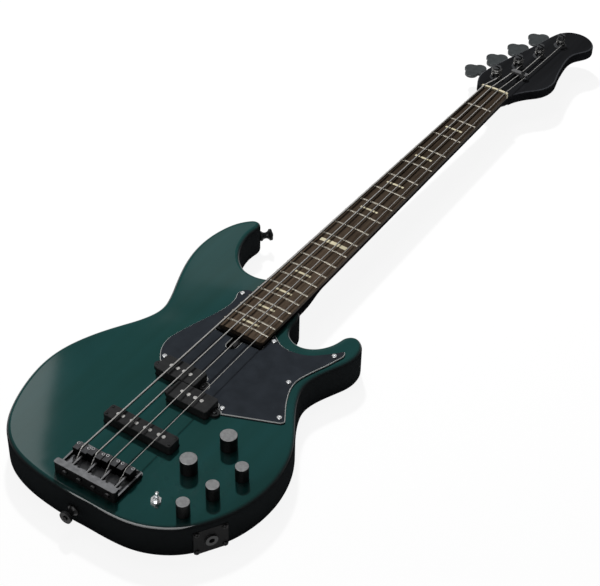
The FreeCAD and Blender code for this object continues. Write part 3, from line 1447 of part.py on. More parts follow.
def make_tuner_plates():
    """Back plates with the two lugs that carry each worm shaft."""
    plate = rounded_block(
        TUNER_PLATE_ALONG, TUNER_PLATE_ACROSS, TUNER_PLATE_THICKNESS, TUNER_PLATE_CORNER, tuner_plate_middle()
    )
    half = WORM_SHAFT_RADIUS + LUG_MARGIN
    for side in (-1, 1):
        near = side * (WORM_HALF + LUG_GAP)
        left, right = sorted((near, near + side * LUG_LENGTH))
        low = Vector(WORM_OFFSET - half, left, -WORM_DROP)
        lug = block(low, Vector(WORM_OFFSET + half, right, -TUNER_PLATE_THICKNESS))
        eye = cylinder(half, Vector(WORM_OFFSET, left, -WORM_DROP), ALONG, LUG_LENGTH)
        plate = plate.fuse([lug, eye])
    reach = WORM_HALF + LUG_GAP + LUG_LENGTH + OVERRUN
    bore = cylinder(WORM_SHAFT_RADIUS + SHAFT_FIT, Vector(WORM_OFFSET, -reach, -WORM_DROP), ALONG, 2 * reach)
    hole = cylinder(POST_RADIUS + SHAFT_FIT, DOWN * TUNER_PLATE_THICKNESS, UP, TUNER_PLATE_THICKNESS)
    plate = plate.cut([bore, hole])
    plates = []
    for index in STRINGS:
        holes = screw_holes(tuner_seats()[2 * index:2 * index + 2], TUNER_SCREW_LENGTH)
        plates.append(placed(plate, tuner_frame(index)).cut(holes))
    return group(plates)


def involute(angle):
    return math.tan(angle) - angle


def tooth_half_angle(radius):
    """Half the angle that a gear tooth takes up at a radius."""
    pressure = math.radians(GEAR_PRESSURE_DEGREES)
    base = GEAR_RADIUS * math.cos(pressure)
    at_pitch = math.pi * TOOTH_WIDTH_SHARE / GEAR_TEETH
    here = math.acos(base / radius) if radius > base else 0
    return at_pitch + involute(pressure) - involute(here)


def gear_outline(z, twist):
    """Outline of the worm wheel at a height, with a gap between teeth on local X."""
    radii = (GEAR_RADIUS - GEAR_DEDENDUM, GEAR_RADIUS, GEAR_RADIUS + GEAR_ADDENDUM)
    flank = [(radius, tooth_half_angle(radius)) for radius in radii]
    points = []
    for tooth in range(GEAR_TEETH):
        middle = 2 * math.pi * (tooth + 1 / 2) / GEAR_TEETH + twist
        for radius, half in flank:
            points.append(Vector(radius * math.cos(middle - half), radius * math.sin(middle - half), z))
        for radius, half in reversed(flank):
            points.append(Vector(radius * math.cos(middle + half), radius * math.sin(middle + half), z))
    return Part.makePolygon(points + points[:1])


def make_gear():
    """Worm wheel whose teeth slant with the worm's thread."""
    slant = WORM_LEAD / (2 * math.pi * WORM_PITCH_RADIUS)
    twist = slant * GEAR_FACE / 2 / GEAR_RADIUS
    low = gear_outline(-WORM_DROP - GEAR_FACE / 2, -twist)
    high = gear_outline(-WORM_DROP + GEAR_FACE / 2, twist)
    gear = Part.makeLoft([low, high], True, True)
    base = DOWN * (WORM_DROP + GEAR_FACE)
    return gear.cut(cylinder(POST_TAIL_RADIUS, base, UP, 2 * GEAR_FACE))


def make_post():
    """Slotted string post with its worm wheel and the wheel's screw."""
    gear_top = -WORM_DROP + GEAR_FACE / 2
    top = HEAD_THICKNESS + POST_HEIGHT
    post = cylinder(POST_RADIUS, Vector(0, 0, gear_top), UP, top - gear_top)
    cap_base = Vector(0, 0, top - POST_CAP_HEIGHT)
    cap = Part.makeCone(POST_RADIUS, POST_CAP_RADIUS, POST_CAP_HEIGHT, cap_base, UP)
    tail = cylinder(POST_TAIL_RADIUS, Vector(0, 0, gear_top - GEAR_FACE), UP, GEAR_FACE)
    low = Vector(-POST_SLOT_WIDTH / 2, -POST_CAP_RADIUS - OVERRUN, top - POST_SLOT_DEPTH)
    slot = block(low, Vector(POST_SLOT_WIDTH / 2, POST_CAP_RADIUS + OVERRUN, top + OVERRUN))
    post = post.fuse([cap, tail]).cut(slot)
    head_base = Vector(0, 0, gear_top - GEAR_FACE)
    head = cylinder(GEAR_SCREW_RADIUS, head_base, DOWN, GEAR_SCREW_HEIGHT)
    low = Vector(-GEAR_SCREW_RADIUS - OVERRUN, -RECESS_WIDTH, head_base.z - GEAR_SCREW_HEIGHT - OVERRUN)
    high = Vector(GEAR_SCREW_RADIUS + OVERRUN, RECESS_WIDTH, head_base.z - GEAR_SCREW_HEIGHT / 2)
    return group([post, make_gear(), head.cut(block(low, high))])


def worm_thread():
    """Right-hand thread about local Z, its ridge crossing local X at Z = 0."""
    root = WORM_SHAFT_RADIUS - THREAD_SINK
    slope = math.tan(math.radians(GEAR_PRESSURE_DEGREES))
    at_pitch = WORM_LEAD * TOOTH_WIDTH_SHARE / 2
    wide = at_pitch + (WORM_PITCH_RADIUS - root) * slope
    narrow = at_pitch - GEAR_ADDENDUM * slope
    tip = WORM_TIP_RADIUS
    points = [Vector(root, 0, -wide), Vector(tip, 0, -narrow), Vector(tip, 0, narrow), Vector(root, 0, wide)]
    profile = Part.makePolygon(points + points[:1])
    helix = Part.makeHelix(WORM_LEAD, 2 * WORM_HALF, WORM_PITCH_RADIUS)
    thread = Part.Wire(helix.Edges).makePipeShell([profile], True, True)
    thread.translate(DOWN * WORM_HALF)
    return thread


def make_key():
    """Worm shaft with its thread, and the three-lobed key on its outer end."""
    inner = WORM_HALF + LUG_GAP + LUG_LENGTH + LUG_GAP
    shaft = cylinder(WORM_SHAFT_RADIUS, DOWN * inner, UP, inner + KEY_REACH + KEY_LOBE_RADIUS)
    worm = shaft.fuse(worm_thread())
    axis = frame(Vector(WORM_OFFSET, 0, -WORM_DROP), ACROSS * -1, ALONG)
    collar = cylinder(KEY_COLLAR_RADIUS, UP * (KEY_REACH - KEY_COLLAR_LENGTH / 2), UP, KEY_COLLAR_LENGTH)
    z = KEY_REACH + KEY_LOBE_RADIUS
    face = BACKWARD * (KEY_THICKNESS / 2) + UP * z
    blade = cylinder(KEY_WEB_RADIUS, face + UP * KEY_WEB_STEP, ALONG, KEY_THICKNESS)
    steps = [ACROSS * (side * KEY_LOBE_SPREAD / 2) for side in (-1, 1)] + [UP * KEY_LOBE_STEP]
    blade = blade.fuse([cylinder(KEY_LOBE_RADIUS, face + step, ALONG, KEY_THICKNESS) for step in steps])
    blade = blade.removeSplitter()
    rims = [e for e in blade.Edges if e.BoundBox.YLength < KEY_EDGE]
    button = collar.fuse(blade.makeFillet(KEY_EDGE, rims)).cut(shaft)
    return group([placed(worm, axis), placed(largest(button), axis)])


def retainer_place():
    """Middle of the retainer bar, over the three strings that it holds down."""
    touch_x = [level_point(index).x for index in STRINGS[1:]]
    return Vector(sum(touch_x) / len(touch_x), SCALE + RETAINER_Y, 0)


def retainer_post_place():
    """The bar's post, between its two treble strings."""
    x = (level_point(STRING_COUNT - 1).x + level_point(STRING_COUNT - 2).x) / 2
    return Vector(x, SCALE + RETAINER_Y, 0)


def retainer_hole_seat():
    return retainer_post_place() + UP * (RETAINER_UNDERSIDE + RETAINER_THICKNESS), UP


def make_retainer():
    middle = retainer_place() + UP * RETAINER_UNDERSIDE
    bar = rounded_block(RETAINER_LENGTH, RETAINER_WIDTH, RETAINER_THICKNESS, RETAINER_CORNER, middle)
    foot = retainer_post_place() + UP * HEAD_TOP
    bar = bar.fuse(cylinder(RETAINER_POST_RADIUS, foot, UP, RETAINER_LIFT))
    return bar.cut(screw_holes([retainer_hole_seat()], SCREW_LENGTH))


def make_pots():
    """Potentiometer cases with their threaded bushings, and the nuts that hold them."""
    parts = []
    for share in KNOB_PLACE_SHARES:
        ceiling = body_point(share, CAVITY_TOP)
        case = cylinder(POT_CASE_RADIUS, ceiling, DOWN, POT_CASE_HEIGHT)
        bushing = cylinder(POT_BUSHING_RADIUS, ceiling, UP, TOP_WOOD + POT_NUT_HEIGHT)
        well = cylinder(POT_SHAFT_RADIUS + SHAFT_FIT, ceiling, UP, TOP_WOOD + POT_NUT_HEIGHT)
        parts.append(case.fuse(bushing).cut(well))
        top = body_point(share, BODY_TOP)
        nut = cylinder(POT_NUT_RADIUS, top, UP, POT_NUT_HEIGHT)
        parts.append(nut.cut(cylinder(POT_BUSHING_RADIUS, top, UP, POT_NUT_HEIGHT)))
    return group(parts)


def make_knob(index):
    """Flat-topped knob on its control shaft."""
    place = body_point(KNOB_PLACE_SHARES[index], BODY_TOP + KNOB_GAP)
    top = place.z + KNOB_HEIGHT
    knob = cylinder(KNOB_RADII[index], place, UP, KNOB_HEIGHT)
    knob = knob.makeFillet(KNOB_EDGE, edges_at(knob, top))
    shaft_base = Vector(place.x, place.y, CAVITY_TOP + KNOB_GAP)
    shaft_top = BODY_TOP + POT_SHAFT_REACH
    shaft = cylinder(POT_SHAFT_RADIUS, shaft_base, UP, shaft_top - shaft_base.z)
    recess = cylinder(KNOB_RECESS_RADIUS, place, UP, KNOB_RECESS_DEPTH)
    return group([knob.cut([shaft, recess]), shaft])


def make_toggle_switch():
    """Switch case under the top, with its threaded bushing and hexagon nut."""
    ceiling = body_point(TOGGLE_PLACE_SHARES, CAVITY_TOP)
    corner = Vector(TOGGLE_CASE_WIDTH / 2, TOGGLE_CASE_LENGTH / 2, 0)
    case = block(ceiling - corner + DOWN * TOGGLE_CASE_HEIGHT, ceiling + corner)
    bushing = cylinder(TOGGLE_BUSHING_RADIUS, ceiling, UP, TOP_WOOD + TOGGLE_BUSHING_RISE)
    well_base = Vector(ceiling.x, ceiling.y, PIVOT_Z - TOGGLE_BORE_RADIUS - KNOB_GAP)
    well = cylinder(TOGGLE_BORE_RADIUS, well_base, UP, TOGGLE_BUSHING_RISE + TOP_WOOD)
    top = body_point(TOGGLE_PLACE_SHARES, BODY_TOP)
    corners = []
    for side in range(TOGGLE_NUT_SIDES):
        angle = 2 * math.pi * side / TOGGLE_NUT_SIDES
        spoke = Vector(math.cos(angle), math.sin(angle), 0) * TOGGLE_NUT_RADIUS
        corners.append(spoke + Vector(top.x, top.y, 0))
    nut = polygon_prism(corners, BODY_TOP, BODY_TOP + TOGGLE_NUT_HEIGHT)
    nut = nut.cut(cylinder(TOGGLE_BUSHING_RADIUS, top, UP, TOGGLE_NUT_HEIGHT))
    return group([case.fuse(bushing).cut(well), nut])


def make_toggle_lever():
    """Tapered bat lever, tilted towards the neck about its ball."""
    pivot = body_point(TOGGLE_PLACE_SHARES, PIVOT_Z)
    ball = Part.makeSphere(TOGGLE_BORE_RADIUS - SHAFT_FIT, pivot)
    bat = Part.makeCone(TOGGLE_LEVER_RADIUS, TOGGLE_TIP_RADIUS, TOGGLE_LEVER_LENGTH, pivot, UP)
    tip = Part.makeSphere(TOGGLE_TIP_RADIUS, pivot + UP * TOGGLE_LEVER_LENGTH)
    lever = ball.fuse([bat, tip])
    lever.rotate(pivot, ACROSS, -TOGGLE_TILT_DEGREES)
    return lever


def make_cover():
    points = grown(CAVITY_POINTS, COVER_LEDGE)
    high = COVER_PLATE_INSET + COVER_PLATE_THICKNESS
    cover = prism(smooth_edges(points, True), COVER_PLATE_INSET, high)
    sinks = []
    for point, _ in cover_seats():
        base = Vector(point.x, point.y, -OVERRUN)
        sinks.append(cylinder(SCREW_HEAD_RADIUS * COVER_SCREW_SHARE, base, UP, point.z + OVERRUN))
        sinks.append(cylinder(SCREW_SHANK_RADIUS * COVER_SCREW_SHARE, base, UP, high + 2 * OVERRUN))
    return cover.cut(sinks)


def make_preamp():
    """Circuit card under the potentiometers, with a few chips on it."""
    middle = middle_of([body_point(share) for share in KNOB_PLACE_SHARES])
    high = CAVITY_TOP - POT_CASE_HEIGHT
    corner = Vector(BOARD_CARD_LENGTH / 2, BOARD_CARD_WIDTH / 2, 0)
    low = middle - corner + UP * (high - BOARD_CARD_THICKNESS)
    parts = [block(low, middle + corner + UP * high)]
    for column in range(CHIP_COLUMNS):
        for row in range(CHIP_ROWS):
            x = low.x + BOARD_CARD_LENGTH * (column + 1 / 2) / CHIP_COLUMNS
            y = low.y + BOARD_CARD_WIDTH * (row + 1 / 2) / CHIP_ROWS
            half = Vector(CHIP_LENGTH / 2, CHIP_WIDTH / 2, 0)
            base = Vector(x, y, low.z - CHIP_HEIGHT)
            parts.append(block(base - half, base + half + UP * CHIP_HEIGHT))
    return group(parts)


def make_tray():
    """Battery tray let into the back, with a rebate for the lid and holes for its pin."""
    base = Vector(TRAY_MIDDLE.x, TRAY_MIDDLE.y, 0)
    tray = rounded_block(TRAY_LENGTH, TRAY_WIDTH, TRAY_HEIGHT, TRAY_CORNER, base)
    half = Vector(BATTERY_LENGTH / 2 + BATTERY_GAP, BATTERY_WIDTH / 2 + BATTERY_GAP, 0)
    well = block(base - half + DOWN * OVERRUN, base + half + UP * (TRAY_HEIGHT - TRAY_FLOOR))
    end = LID_AXIS_X - LID_BARREL_RADIUS - LID_GAP
    far = TRAY_MIDDLE.x + LID_REACH + LID_GAP
    side = BATTERY_WIDTH / 2 + BATTERY_GAP + LID_GAP
    low = Vector(end, TRAY_MIDDLE.y - side, -OVERRUN)
    rebate = block(low, Vector(far, TRAY_MIDDLE.y + side, BATTERY_FLOOR))
    reach = side + LID_PIN_REACH + LID_GAP
    start = Vector(LID_AXIS_X, TRAY_MIDDLE.y - reach, LID_AXIS_Z)
    pin_hole = cylinder(LID_PIN_RADIUS + SHAFT_FIT, start, ALONG, 2 * reach)
    return tray.cut([well, rebate, pin_hole])


def make_battery():
    base = Vector(TRAY_MIDDLE.x, TRAY_MIDDLE.y, BATTERY_FLOOR + BATTERY_GAP)
    return rounded_block(BATTERY_LENGTH, BATTERY_WIDTH, BATTERY_HEIGHT, TRAY_CORNER, base)


def make_lid():
    """Battery lid with a round hinge edge and its pin."""
    side = BATTERY_WIDTH / 2 + BATTERY_GAP
    low = Vector(LID_AXIS_X, TRAY_MIDDLE.y - side, LID_INSET)
    high = Vector(TRAY_MIDDLE.x + LID_REACH, TRAY_MIDDLE.y + side, LID_INSET + LID_THICKNESS)
    lid = block(low, high)
    axis = Vector(LID_AXIS_X, TRAY_MIDDLE.y - side, LID_AXIS_Z)
    barrel = cylinder(LID_BARREL_RADIUS, axis, ALONG, 2 * side)
    reach = side + LID_GAP + LID_PIN_REACH
    pin_start = Vector(LID_AXIS_X, TRAY_MIDDLE.y - reach, LID_AXIS_Z)
    return lid.fuse([barrel, cylinder(LID_PIN_RADIUS, pin_start, ALONG, 2 * reach)])


def make_jack_plate():
    base = DOWN * JACK_PLATE_THICKNESS
    plate = rounded_block(JACK_PLATE_WIDTH, JACK_PLATE_HEIGHT, JACK_PLATE_THICKNESS, JACK_PLATE_CORNER, base)
    plate = plate.cut(cylinder(JACK_NECK_RADIUS, base, UP, JACK_PLATE_THICKNESS))
    return placed(plate, JACK_FRAME).cut(screw_holes(jack_seats(), SCREW_LENGTH))


def make_jack():
    """Barrel jack behind the plate, and the round nut in front that holds it."""
    base = DOWN * JACK_PLATE_THICKNESS
    barrel = cylinder(JACK_BARREL_RADIUS, base, DOWN, JACK_BARREL_LENGTH)
    neck = cylinder(JACK_NECK_RADIUS, base, UP, JACK_PLATE_THICKNESS + JACK_NUT_HEIGHT)
    end = DOWN * (JACK_PLATE_THICKNESS + JACK_BARREL_LENGTH - JACK_END_WALL)
    bore = cylinder(JACK_BORE_RADIUS, end, UP, JACK_BARREL_LENGTH + JACK_PLATE_THICKNESS + JACK_NUT_HEIGHT)
    nut = cylinder(JACK_NUT_RADIUS, Vector(0, 0, 0), UP, JACK_NUT_HEIGHT)
    nut = nut.cut(cylinder(JACK_NECK_RADIUS, Vector(0, 0, 0), UP, JACK_NUT_HEIGHT))
    return group([placed(barrel.fuse(neck).cut(bore), JACK_FRAME), placed(nut, JACK_FRAME)])


def strap_button():
    """Waisted strap button turned about local Z, with a hole for its screw."""
    waist = (BUTTON_BASE_LENGTH + BUTTON_LENGTH - BUTTON_HEAD_LENGTH) / 2
    base_top = Vector(BUTTON_BASE_RADIUS, 0, BUTTON_BASE_LENGTH)
    head_low = Vector(BUTTON_HEAD_RADIUS, 0, BUTTON_LENGTH - BUTTON_HEAD_LENGTH)
    rim = Vector(BUTTON_HEAD_RADIUS, 0, BUTTON_LENGTH)
    inner = SCREW_SHANK_RADIUS
    hollow = Part.Arc(base_top, Vector(BUTTON_STEM_RADIUS, 0, waist), head_low).toShape()
    edges = [line(Vector(inner, 0, 0), Vector(BUTTON_BASE_RADIUS, 0, 0))]
    edges.append(line(Vector(BUTTON_BASE_RADIUS, 0, 0), base_top))
    edges += [hollow, line(head_low, rim), line(rim, Vector(inner, 0, BUTTON_LENGTH))]
    edges.append(line(Vector(inner, 0, BUTTON_LENGTH), Vector(inner, 0, 0)))
    face = Part.Face(Part.Wire(edges))
    return face.revolve(Vector(0, 0, 0), UP, 2 * math.degrees(math.pi))


def make_strap_buttons():
    return group([placed(strap_button(), seat_frame(*seat)) for seat in button_seats()])


def make_black_screws():
    """Every small black screw of the jack plate, back cover, tuners, retainer and buttons."""
    screws = screws_at(jack_seats(), SCREW_LENGTH)
    screws += screws_at(cover_seats(), SCREW_LENGTH, COVER_SCREW_SHARE)
    screws += screws_at(button_screw_seats(), BUTTON_LENGTH + SCREW_LENGTH)
    screws += screws_at(tuner_seats(), TUNER_SCREW_LENGTH)
    return group(screws + screws_at([retainer_hole_seat()], SCREW_LENGTH))


def main():
    os.makedirs("parts", exist_ok=True)
    save("body", make_body())
    save("neck", make_neck())
    save("fretboard", make_fretboard())
    save("frets", make_frets())
    save("position_markers", make_markers())
    save("nut", make_nut())
    save("truss_rod", make_truss_rod())
    save("neck_bolts", group(make_neck_bolts()))
    save("ferrules", group(make_ferrules()))
    save("pickguard", make_pickguard())
    save("pickguard_screws", group(screws_at(guard_seats(), SCREW_LENGTH)))
    save("split_pickup_covers", make_split_covers())
    save("bridge_pickup_cover", make_long_cover())
    save("pickup_coils", make_coils())
    save("pole_pieces", make_poles())
    save("pickup_foam", make_foam())
    save("pickup_screws", make_pickup_screws())
    save("bridge_plate", make_bridge_plate())
    save("bridge_screws", group(screws_at(plate_seats(), SCREW_LENGTH)))
    save("strings", group([solid for index in STRINGS for solid in make_string(index)]))
    save("string_retainer", make_retainer())
    save("tuner_bushings", make_bushings())
    save("tuner_plates", make_tuner_plates())
    save("potentiometers", make_pots())
    save("toggle_switch", make_toggle_switch())
    save("toggle_lever", make_toggle_lever())
    save("control_cover", make_cover())
    save("preamp_board", make_preamp())
    save("battery_tray", make_tray())
    save("battery", make_battery())
    save("battery_lid", make_lid())
    save("jack_plate", make_jack_plate())
    save("jack_socket", make_jack())
    save("strap_buttons", make_strap_buttons())
    save("black_screws", make_black_screws())
    key = make_key()
    post = make_post()
    for index, name in enumerate(STRING_NAMES):
        save("tuner_key_" + name, placed(key, tuner_frame(index)))
        save("tuner_post_" + name, placed(post, tuner_frame(index)))
        save("string_winding_" + name, make_winding(index))
        save("saddle_" + name, make_saddle(index))
        save("setting_screw_" + name, make_setting_screw(index))
    for index, name in enumerate(KNOB_NAMES):
        save("knob_" + name, make_knob(index))


main()
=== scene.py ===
import json
import math

import bmesh
import bpy
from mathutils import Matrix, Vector

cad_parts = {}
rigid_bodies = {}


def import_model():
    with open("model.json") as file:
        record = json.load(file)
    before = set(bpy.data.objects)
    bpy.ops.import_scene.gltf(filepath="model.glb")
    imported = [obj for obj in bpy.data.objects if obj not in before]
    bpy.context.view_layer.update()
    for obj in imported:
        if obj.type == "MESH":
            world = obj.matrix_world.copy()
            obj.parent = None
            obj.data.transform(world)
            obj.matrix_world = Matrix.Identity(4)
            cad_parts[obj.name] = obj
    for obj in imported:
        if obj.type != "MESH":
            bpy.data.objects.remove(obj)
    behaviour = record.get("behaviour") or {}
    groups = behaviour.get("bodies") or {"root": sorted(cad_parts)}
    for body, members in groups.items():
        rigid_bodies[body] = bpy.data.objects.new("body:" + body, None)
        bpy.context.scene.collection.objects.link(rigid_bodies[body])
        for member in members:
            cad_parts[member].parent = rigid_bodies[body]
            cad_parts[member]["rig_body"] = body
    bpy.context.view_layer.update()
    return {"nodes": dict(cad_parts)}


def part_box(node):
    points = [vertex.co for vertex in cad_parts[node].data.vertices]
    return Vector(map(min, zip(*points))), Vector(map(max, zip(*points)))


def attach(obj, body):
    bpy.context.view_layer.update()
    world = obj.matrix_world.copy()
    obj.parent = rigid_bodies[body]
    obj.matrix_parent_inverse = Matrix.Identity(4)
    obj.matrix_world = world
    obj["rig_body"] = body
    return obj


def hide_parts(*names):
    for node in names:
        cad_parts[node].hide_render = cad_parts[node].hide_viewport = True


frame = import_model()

bl_info = {
    "name": "Electric Bass Guitar",
    "version": (1, 0, 0),
    "blender": (4, 5, 0),
    "location": "View3D > Sidebar > Bass",
    "description": "Finishes a four-string electric bass guitar and lays it on a studio floor",
    "category": "Object",
}

STRINGS = ("e", "a", "d", "g")
LARGE_KNOBS = ("knob_volume", "knob_blend")
SMALL_KNOBS = ("knob_treble", "knob_middle", "knob_bass")

# Lengths are in metres and angles in degrees, apart from FLAT_ANGLE.

# How near two points, or a point and a height, lie when they count as one.
SAME_POINT = 1e-6
SAME_LEVEL = 1e-5
# The upright part of a face's normal: less than the first on a wall, more than the second on a flat.
WALL_SLOPE = 0.1
FLAT_SLOPE = 0.99
# Faces that turn less than this from each other, in radians, are one flat.
FLAT_ANGLE = math.radians(0.5)
# Edges that turn less than this shade smoothly: on the body and saddles, and on round pieces.
SLAB_SHADING = 30.0
ROUND_SHADING = 35.0
# Place of a piece's second finish among its materials.
SECOND_FINISH = 1

# Headstock: distance from the nut to the start of the round-over, and the steps across it.
HEAD_ROUND_START = 0.0120
HEAD_ROUND_STEPS = 5
# Edges nearer than this to a post belong to its hole.
POST_CLEAR = 0.0100
# Place along the strings where the painted highlight on the headstock's edge starts, and the length of
# its fade.
HEAD_START = 0.875
HEAD_FADE = 0.02

# Fretboard: places along the strings between which it turns darker, and the share of its colour left.
BOARD_SHADE_START = 0.38
BOARD_SHADE_END = 0.60
BOARD_SHADE = (0.56, 0.56, 0.56)

# Pickguard: steps across its bevel, and the range of the upright part of the bevel's normals.
GUARD_BEVEL_STEPS = 1
GUARD_BEVEL_LOW = 0.2
GUARD_BEVEL_HIGH = 0.95

# Saddle: how far its height screws stand behind its front, and to each side of its middle.
SADDLE_FRONT = 0.0030
HEIGHT_SCREW_REACH = 0.0070
# Head of a height screw, with a rim round its socket.
SOCKET_HEAD_FACES = 36
SOCKET_HEAD_RADIUS = 0.0019
SOCKET_HEAD_HEIGHT = 0.0012
SOCKET_HEAD_EDGE = 0.00025
SOCKET_EDGE_STEPS = 2
SOCKET_RIM = 0.0006
SOCKET_DEPTH = 0.0007

# Knob: faces round it, and the share of its radius past which a point of its mesh is on its skirt.
KNOB_FACES = 96
KNOB_SKIRT_SHARE = 0.98
# The upright part of a face's normal: less than the first under a knob, more than the second on top.
KNOB_UNDER_SLOPE = -0.9
KNOB_TOP_SLOPE = 0.6
# Recess under a knob, and the step from its wall in to the shaft.
KNOB_RECESS_RADIUS = 0.0065
KNOB_RECESS_DEPTH = 0.0034
KNOB_SHAFT_STEP = 0.0035
# Plain rims below and above the knurl, and the least distance from them to a knurled face's middle.
KNOB_LOWER_RIM = 0.0015
KNOB_UPPER_RIM = 0.0030
KNURL_INSIDE = 0.0005
# Plain strip along each side of a groove.
KNURL_MARGIN = 0.00008
# Steps across the round-over of the top edge, and the width of the flat ring inside it.
KNOB_EDGE_STEPS = 4
KNOB_TOP_RING = 0.0003

# Distance between the turns of a pickup coil's wire.
COIL_PITCH = 0.0003
# Radians that a wave texture of scale 1 turns through in a metre.
WAVE_RATE = 20
# How much finer a metal's relief is than its scuffs, and a plastic's relief than its mottle.
SCUFF_FINENESS = 6
MOTTLE_FINENESS = 8
# Sockets of a Mix node: its two colours and the mixed colour.
MIX_COLOURS = (6, 7)
MIX_RESULT = 2

# Colours of the fittings that the panel doesn't list.
FRET_NICKEL = (0.46, 0.425, 0.355)
ROD_STEEL = (0.06, 0.06, 0.062)
BOLT_STEEL = (0.45, 0.45, 0.46)
POLE_IRON = (0.58, 0.57, 0.55)
BRIDGE_BLACK = (0.165, 0.168, 0.174)
SADDLE_BLACK = (0.060, 0.061, 0.064)
SCREW_BLACK = (0.20, 0.20, 0.205)
SCREW_STEEL = (0.66, 0.66, 0.67)
TURNS_STEEL = (0.17, 0.17, 0.165)
RETAINER_BLACK = (0.17, 0.17, 0.173)
KEY_BLACK = (0.050, 0.056, 0.058)
CHROME = (0.88, 0.89, 0.90)
POT_STEEL = (0.42, 0.42, 0.43)
JACK_BLACK = (0.017, 0.0175, 0.018)
CARD_GREEN = (0.010, 0.075, 0.030)
BATTERY_BLACK = (0.030, 0.030, 0.034)
# Painted light and shade of a string: the lit crests and shaded grooves of its wraps, and its shaded
# sides.
WRAP_GROOVE_SHADE = (0.35, 0.34, 0.325)
WRAP_CREST_LIGHT = (0.70, 0.69, 0.665)
STRING_SIDE_SHADE = (0.030, 0.030, 0.030)
FOAM_DARK = (0.008, 0.008, 0.009)
FOAM_LIGHT = (0.040, 0.040, 0.042)
# Painted light and shade of a coil's turns: lit crests and shaded grooves.
COPPER_GROOVE_SHADE = (0.20, 0.06, 0.025)
COPPER_CREST_LIGHT = (0.62, 0.26, 0.12)

# Floor: how far it lies below the origin, its colour, and the strength and share of its white glow.
FLOOR_DROP = 0.0006
FLOOR_COLOUR = (0.92, 0.92, 0.92, 1.0)
FLOOR_GLOW = 1.0
FLOOR_GLOW_SHARE = 0.90
# Colour of the even light from all round.
AIR_COLOUR = (1.0, 1.0, 1.0, 1.0)
# Lamps: width and length, place, and the point that they look at or their turn over the floor.
KEY_LAMP = {"size": (0.22, 0.22), "place": (-1.24, 1.78, 2.43), "target": (0.1, 0.1, 0.0)}
OVERHEAD_PANEL = {"size": (0.95, 0.70), "place": (-0.42, 0.50, 2.10), "turn": 45.0}
RIM_LAMP = {"size": (3.60, 1.90), "place": (0.35, -1.88, 1.60), "target": (0.0, -0.10, 0.0)}
SIDE_PANEL = {"size": (0.70, 1.20), "place": (-1.761, 1.058, 1.94), "turn": 39.5}
HORN_PANEL = {"size": (0.55, 0.60), "place": (-1.55, 2.40, 1.94), "turn": 27.4}
# Camera: place, turns about the three axes, and the sensor's width in millimetres.
CAMERA_PLACE = (0.80643, -0.88968, 1.30194)
CAMERA_ANGLES = (49.554, -1.158, 33.597)
SENSOR_WIDTH = 36.0


class BassColours(bpy.types.PropertyGroup):
    """Colours of the finishes."""

    lacquer: bpy.props.FloatVectorProperty(
        name="Lacquer", description="Clear teal over the body's grain",
        subtype="COLOR", default=(0.0086, 0.0480, 0.0475), min=0.0, max=1.0)
    lacquer_deep: bpy.props.FloatVectorProperty(
        name="Lacquer in the pores", description="Where the teal lies thicker in the grain",
        subtype="COLOR", default=(0.0070, 0.0390, 0.0350), min=0.0, max=1.0)
    # Near-black of the body's sides: partly a dark burst in the lacquer, partly painted shade on faces
    # that turn away from upright.
    lacquer_side_burst_and_shade: bpy.props.FloatVectorProperty(
        name="Lacquer on the sides", description="Near-black that shades the sides of the body",
        subtype="COLOR", default=(0.0140, 0.0160, 0.0170), min=0.0, max=1.0)
    neck: bpy.props.FloatVectorProperty(
        name="Neck", description="Satin black of the neck and headstock",
        subtype="COLOR", default=(0.0078, 0.0082, 0.0092), min=0.0, max=1.0)
    board: bpy.props.FloatVectorProperty(
        name="Fretboard", description="Brown of the rosewood",
        subtype="COLOR", default=(0.0780, 0.0570, 0.0400), min=0.0, max=1.0)
    board_dark: bpy.props.FloatVectorProperty(
        name="Fretboard streaks", description="Dark streaks of the rosewood",
        subtype="COLOR", default=(0.0410, 0.0292, 0.0203), min=0.0, max=1.0)
    cream: bpy.props.FloatVectorProperty(
        name="Nut and markers", description="Cream of the nut and the position markers",
        subtype="COLOR", default=(0.50, 0.455, 0.32), min=0.0, max=1.0)
    guard: bpy.props.FloatVectorProperty(
        name="Pickguard", description="Blue-grey face of the pickguard",
        subtype="COLOR", default=(0.0180, 0.0215, 0.0268), min=0.0, max=1.0)
    guard_core: bpy.props.FloatVectorProperty(
        name="Pickguard core", description="Pale core that shows along the pickguard's edge",
        subtype="COLOR", default=(0.42, 0.43, 0.42), min=0.0, max=1.0)
    plastic: bpy.props.FloatVectorProperty(
        name="Black plastic", description="Moulded black of the pickup covers and the back's covers",
        subtype="COLOR", default=(0.0235, 0.0240, 0.0245), min=0.0, max=1.0)
    black_metal: bpy.props.FloatVectorProperty(
        name="Black metal", description="Black plating of the tuners, knobs, jack and screws",
        subtype="COLOR", default=(0.055, 0.057, 0.060), min=0.0, max=1.0)
    knob_top: bpy.props.FloatVectorProperty(
        name="Knob tops", description="Turned grey tops of the knobs",
        subtype="COLOR", default=(0.330, 0.333, 0.337), min=0.0, max=1.0)


class BassSizes(bpy.types.PropertyGroup):
    """Sizes of the shaped details."""

    guard_bevel: bpy.props.FloatProperty(
        name="Pickguard bevel", description="Width of the slope round the pickguard",
        unit="LENGTH", default=0.0009, min=0.0002, max=0.002)
    head_round: bpy.props.FloatProperty(
        name="Headstock round-over", description="Round-over of the headstock's top edge",
        unit="LENGTH", default=0.0045, min=0.0005, max=0.006)
    knob_edge: bpy.props.FloatProperty(
        name="Knob edge", description="Round-over of a knob's top edge",
        unit="LENGTH", default=0.0008, min=0.0002, max=0.002)
    knob_groove: bpy.props.FloatProperty(
        name="Knurl depth", description="Depth of the grooves round a knob",
        unit="LENGTH", default=0.00025, min=0.0001, max=0.001)
    winding_pitch: bpy.props.FloatProperty(
        name="Winding pitch", description="Distance between the wraps of a string's winding",
        unit="LENGTH", default=0.0005, min=0.0001, max=0.002)


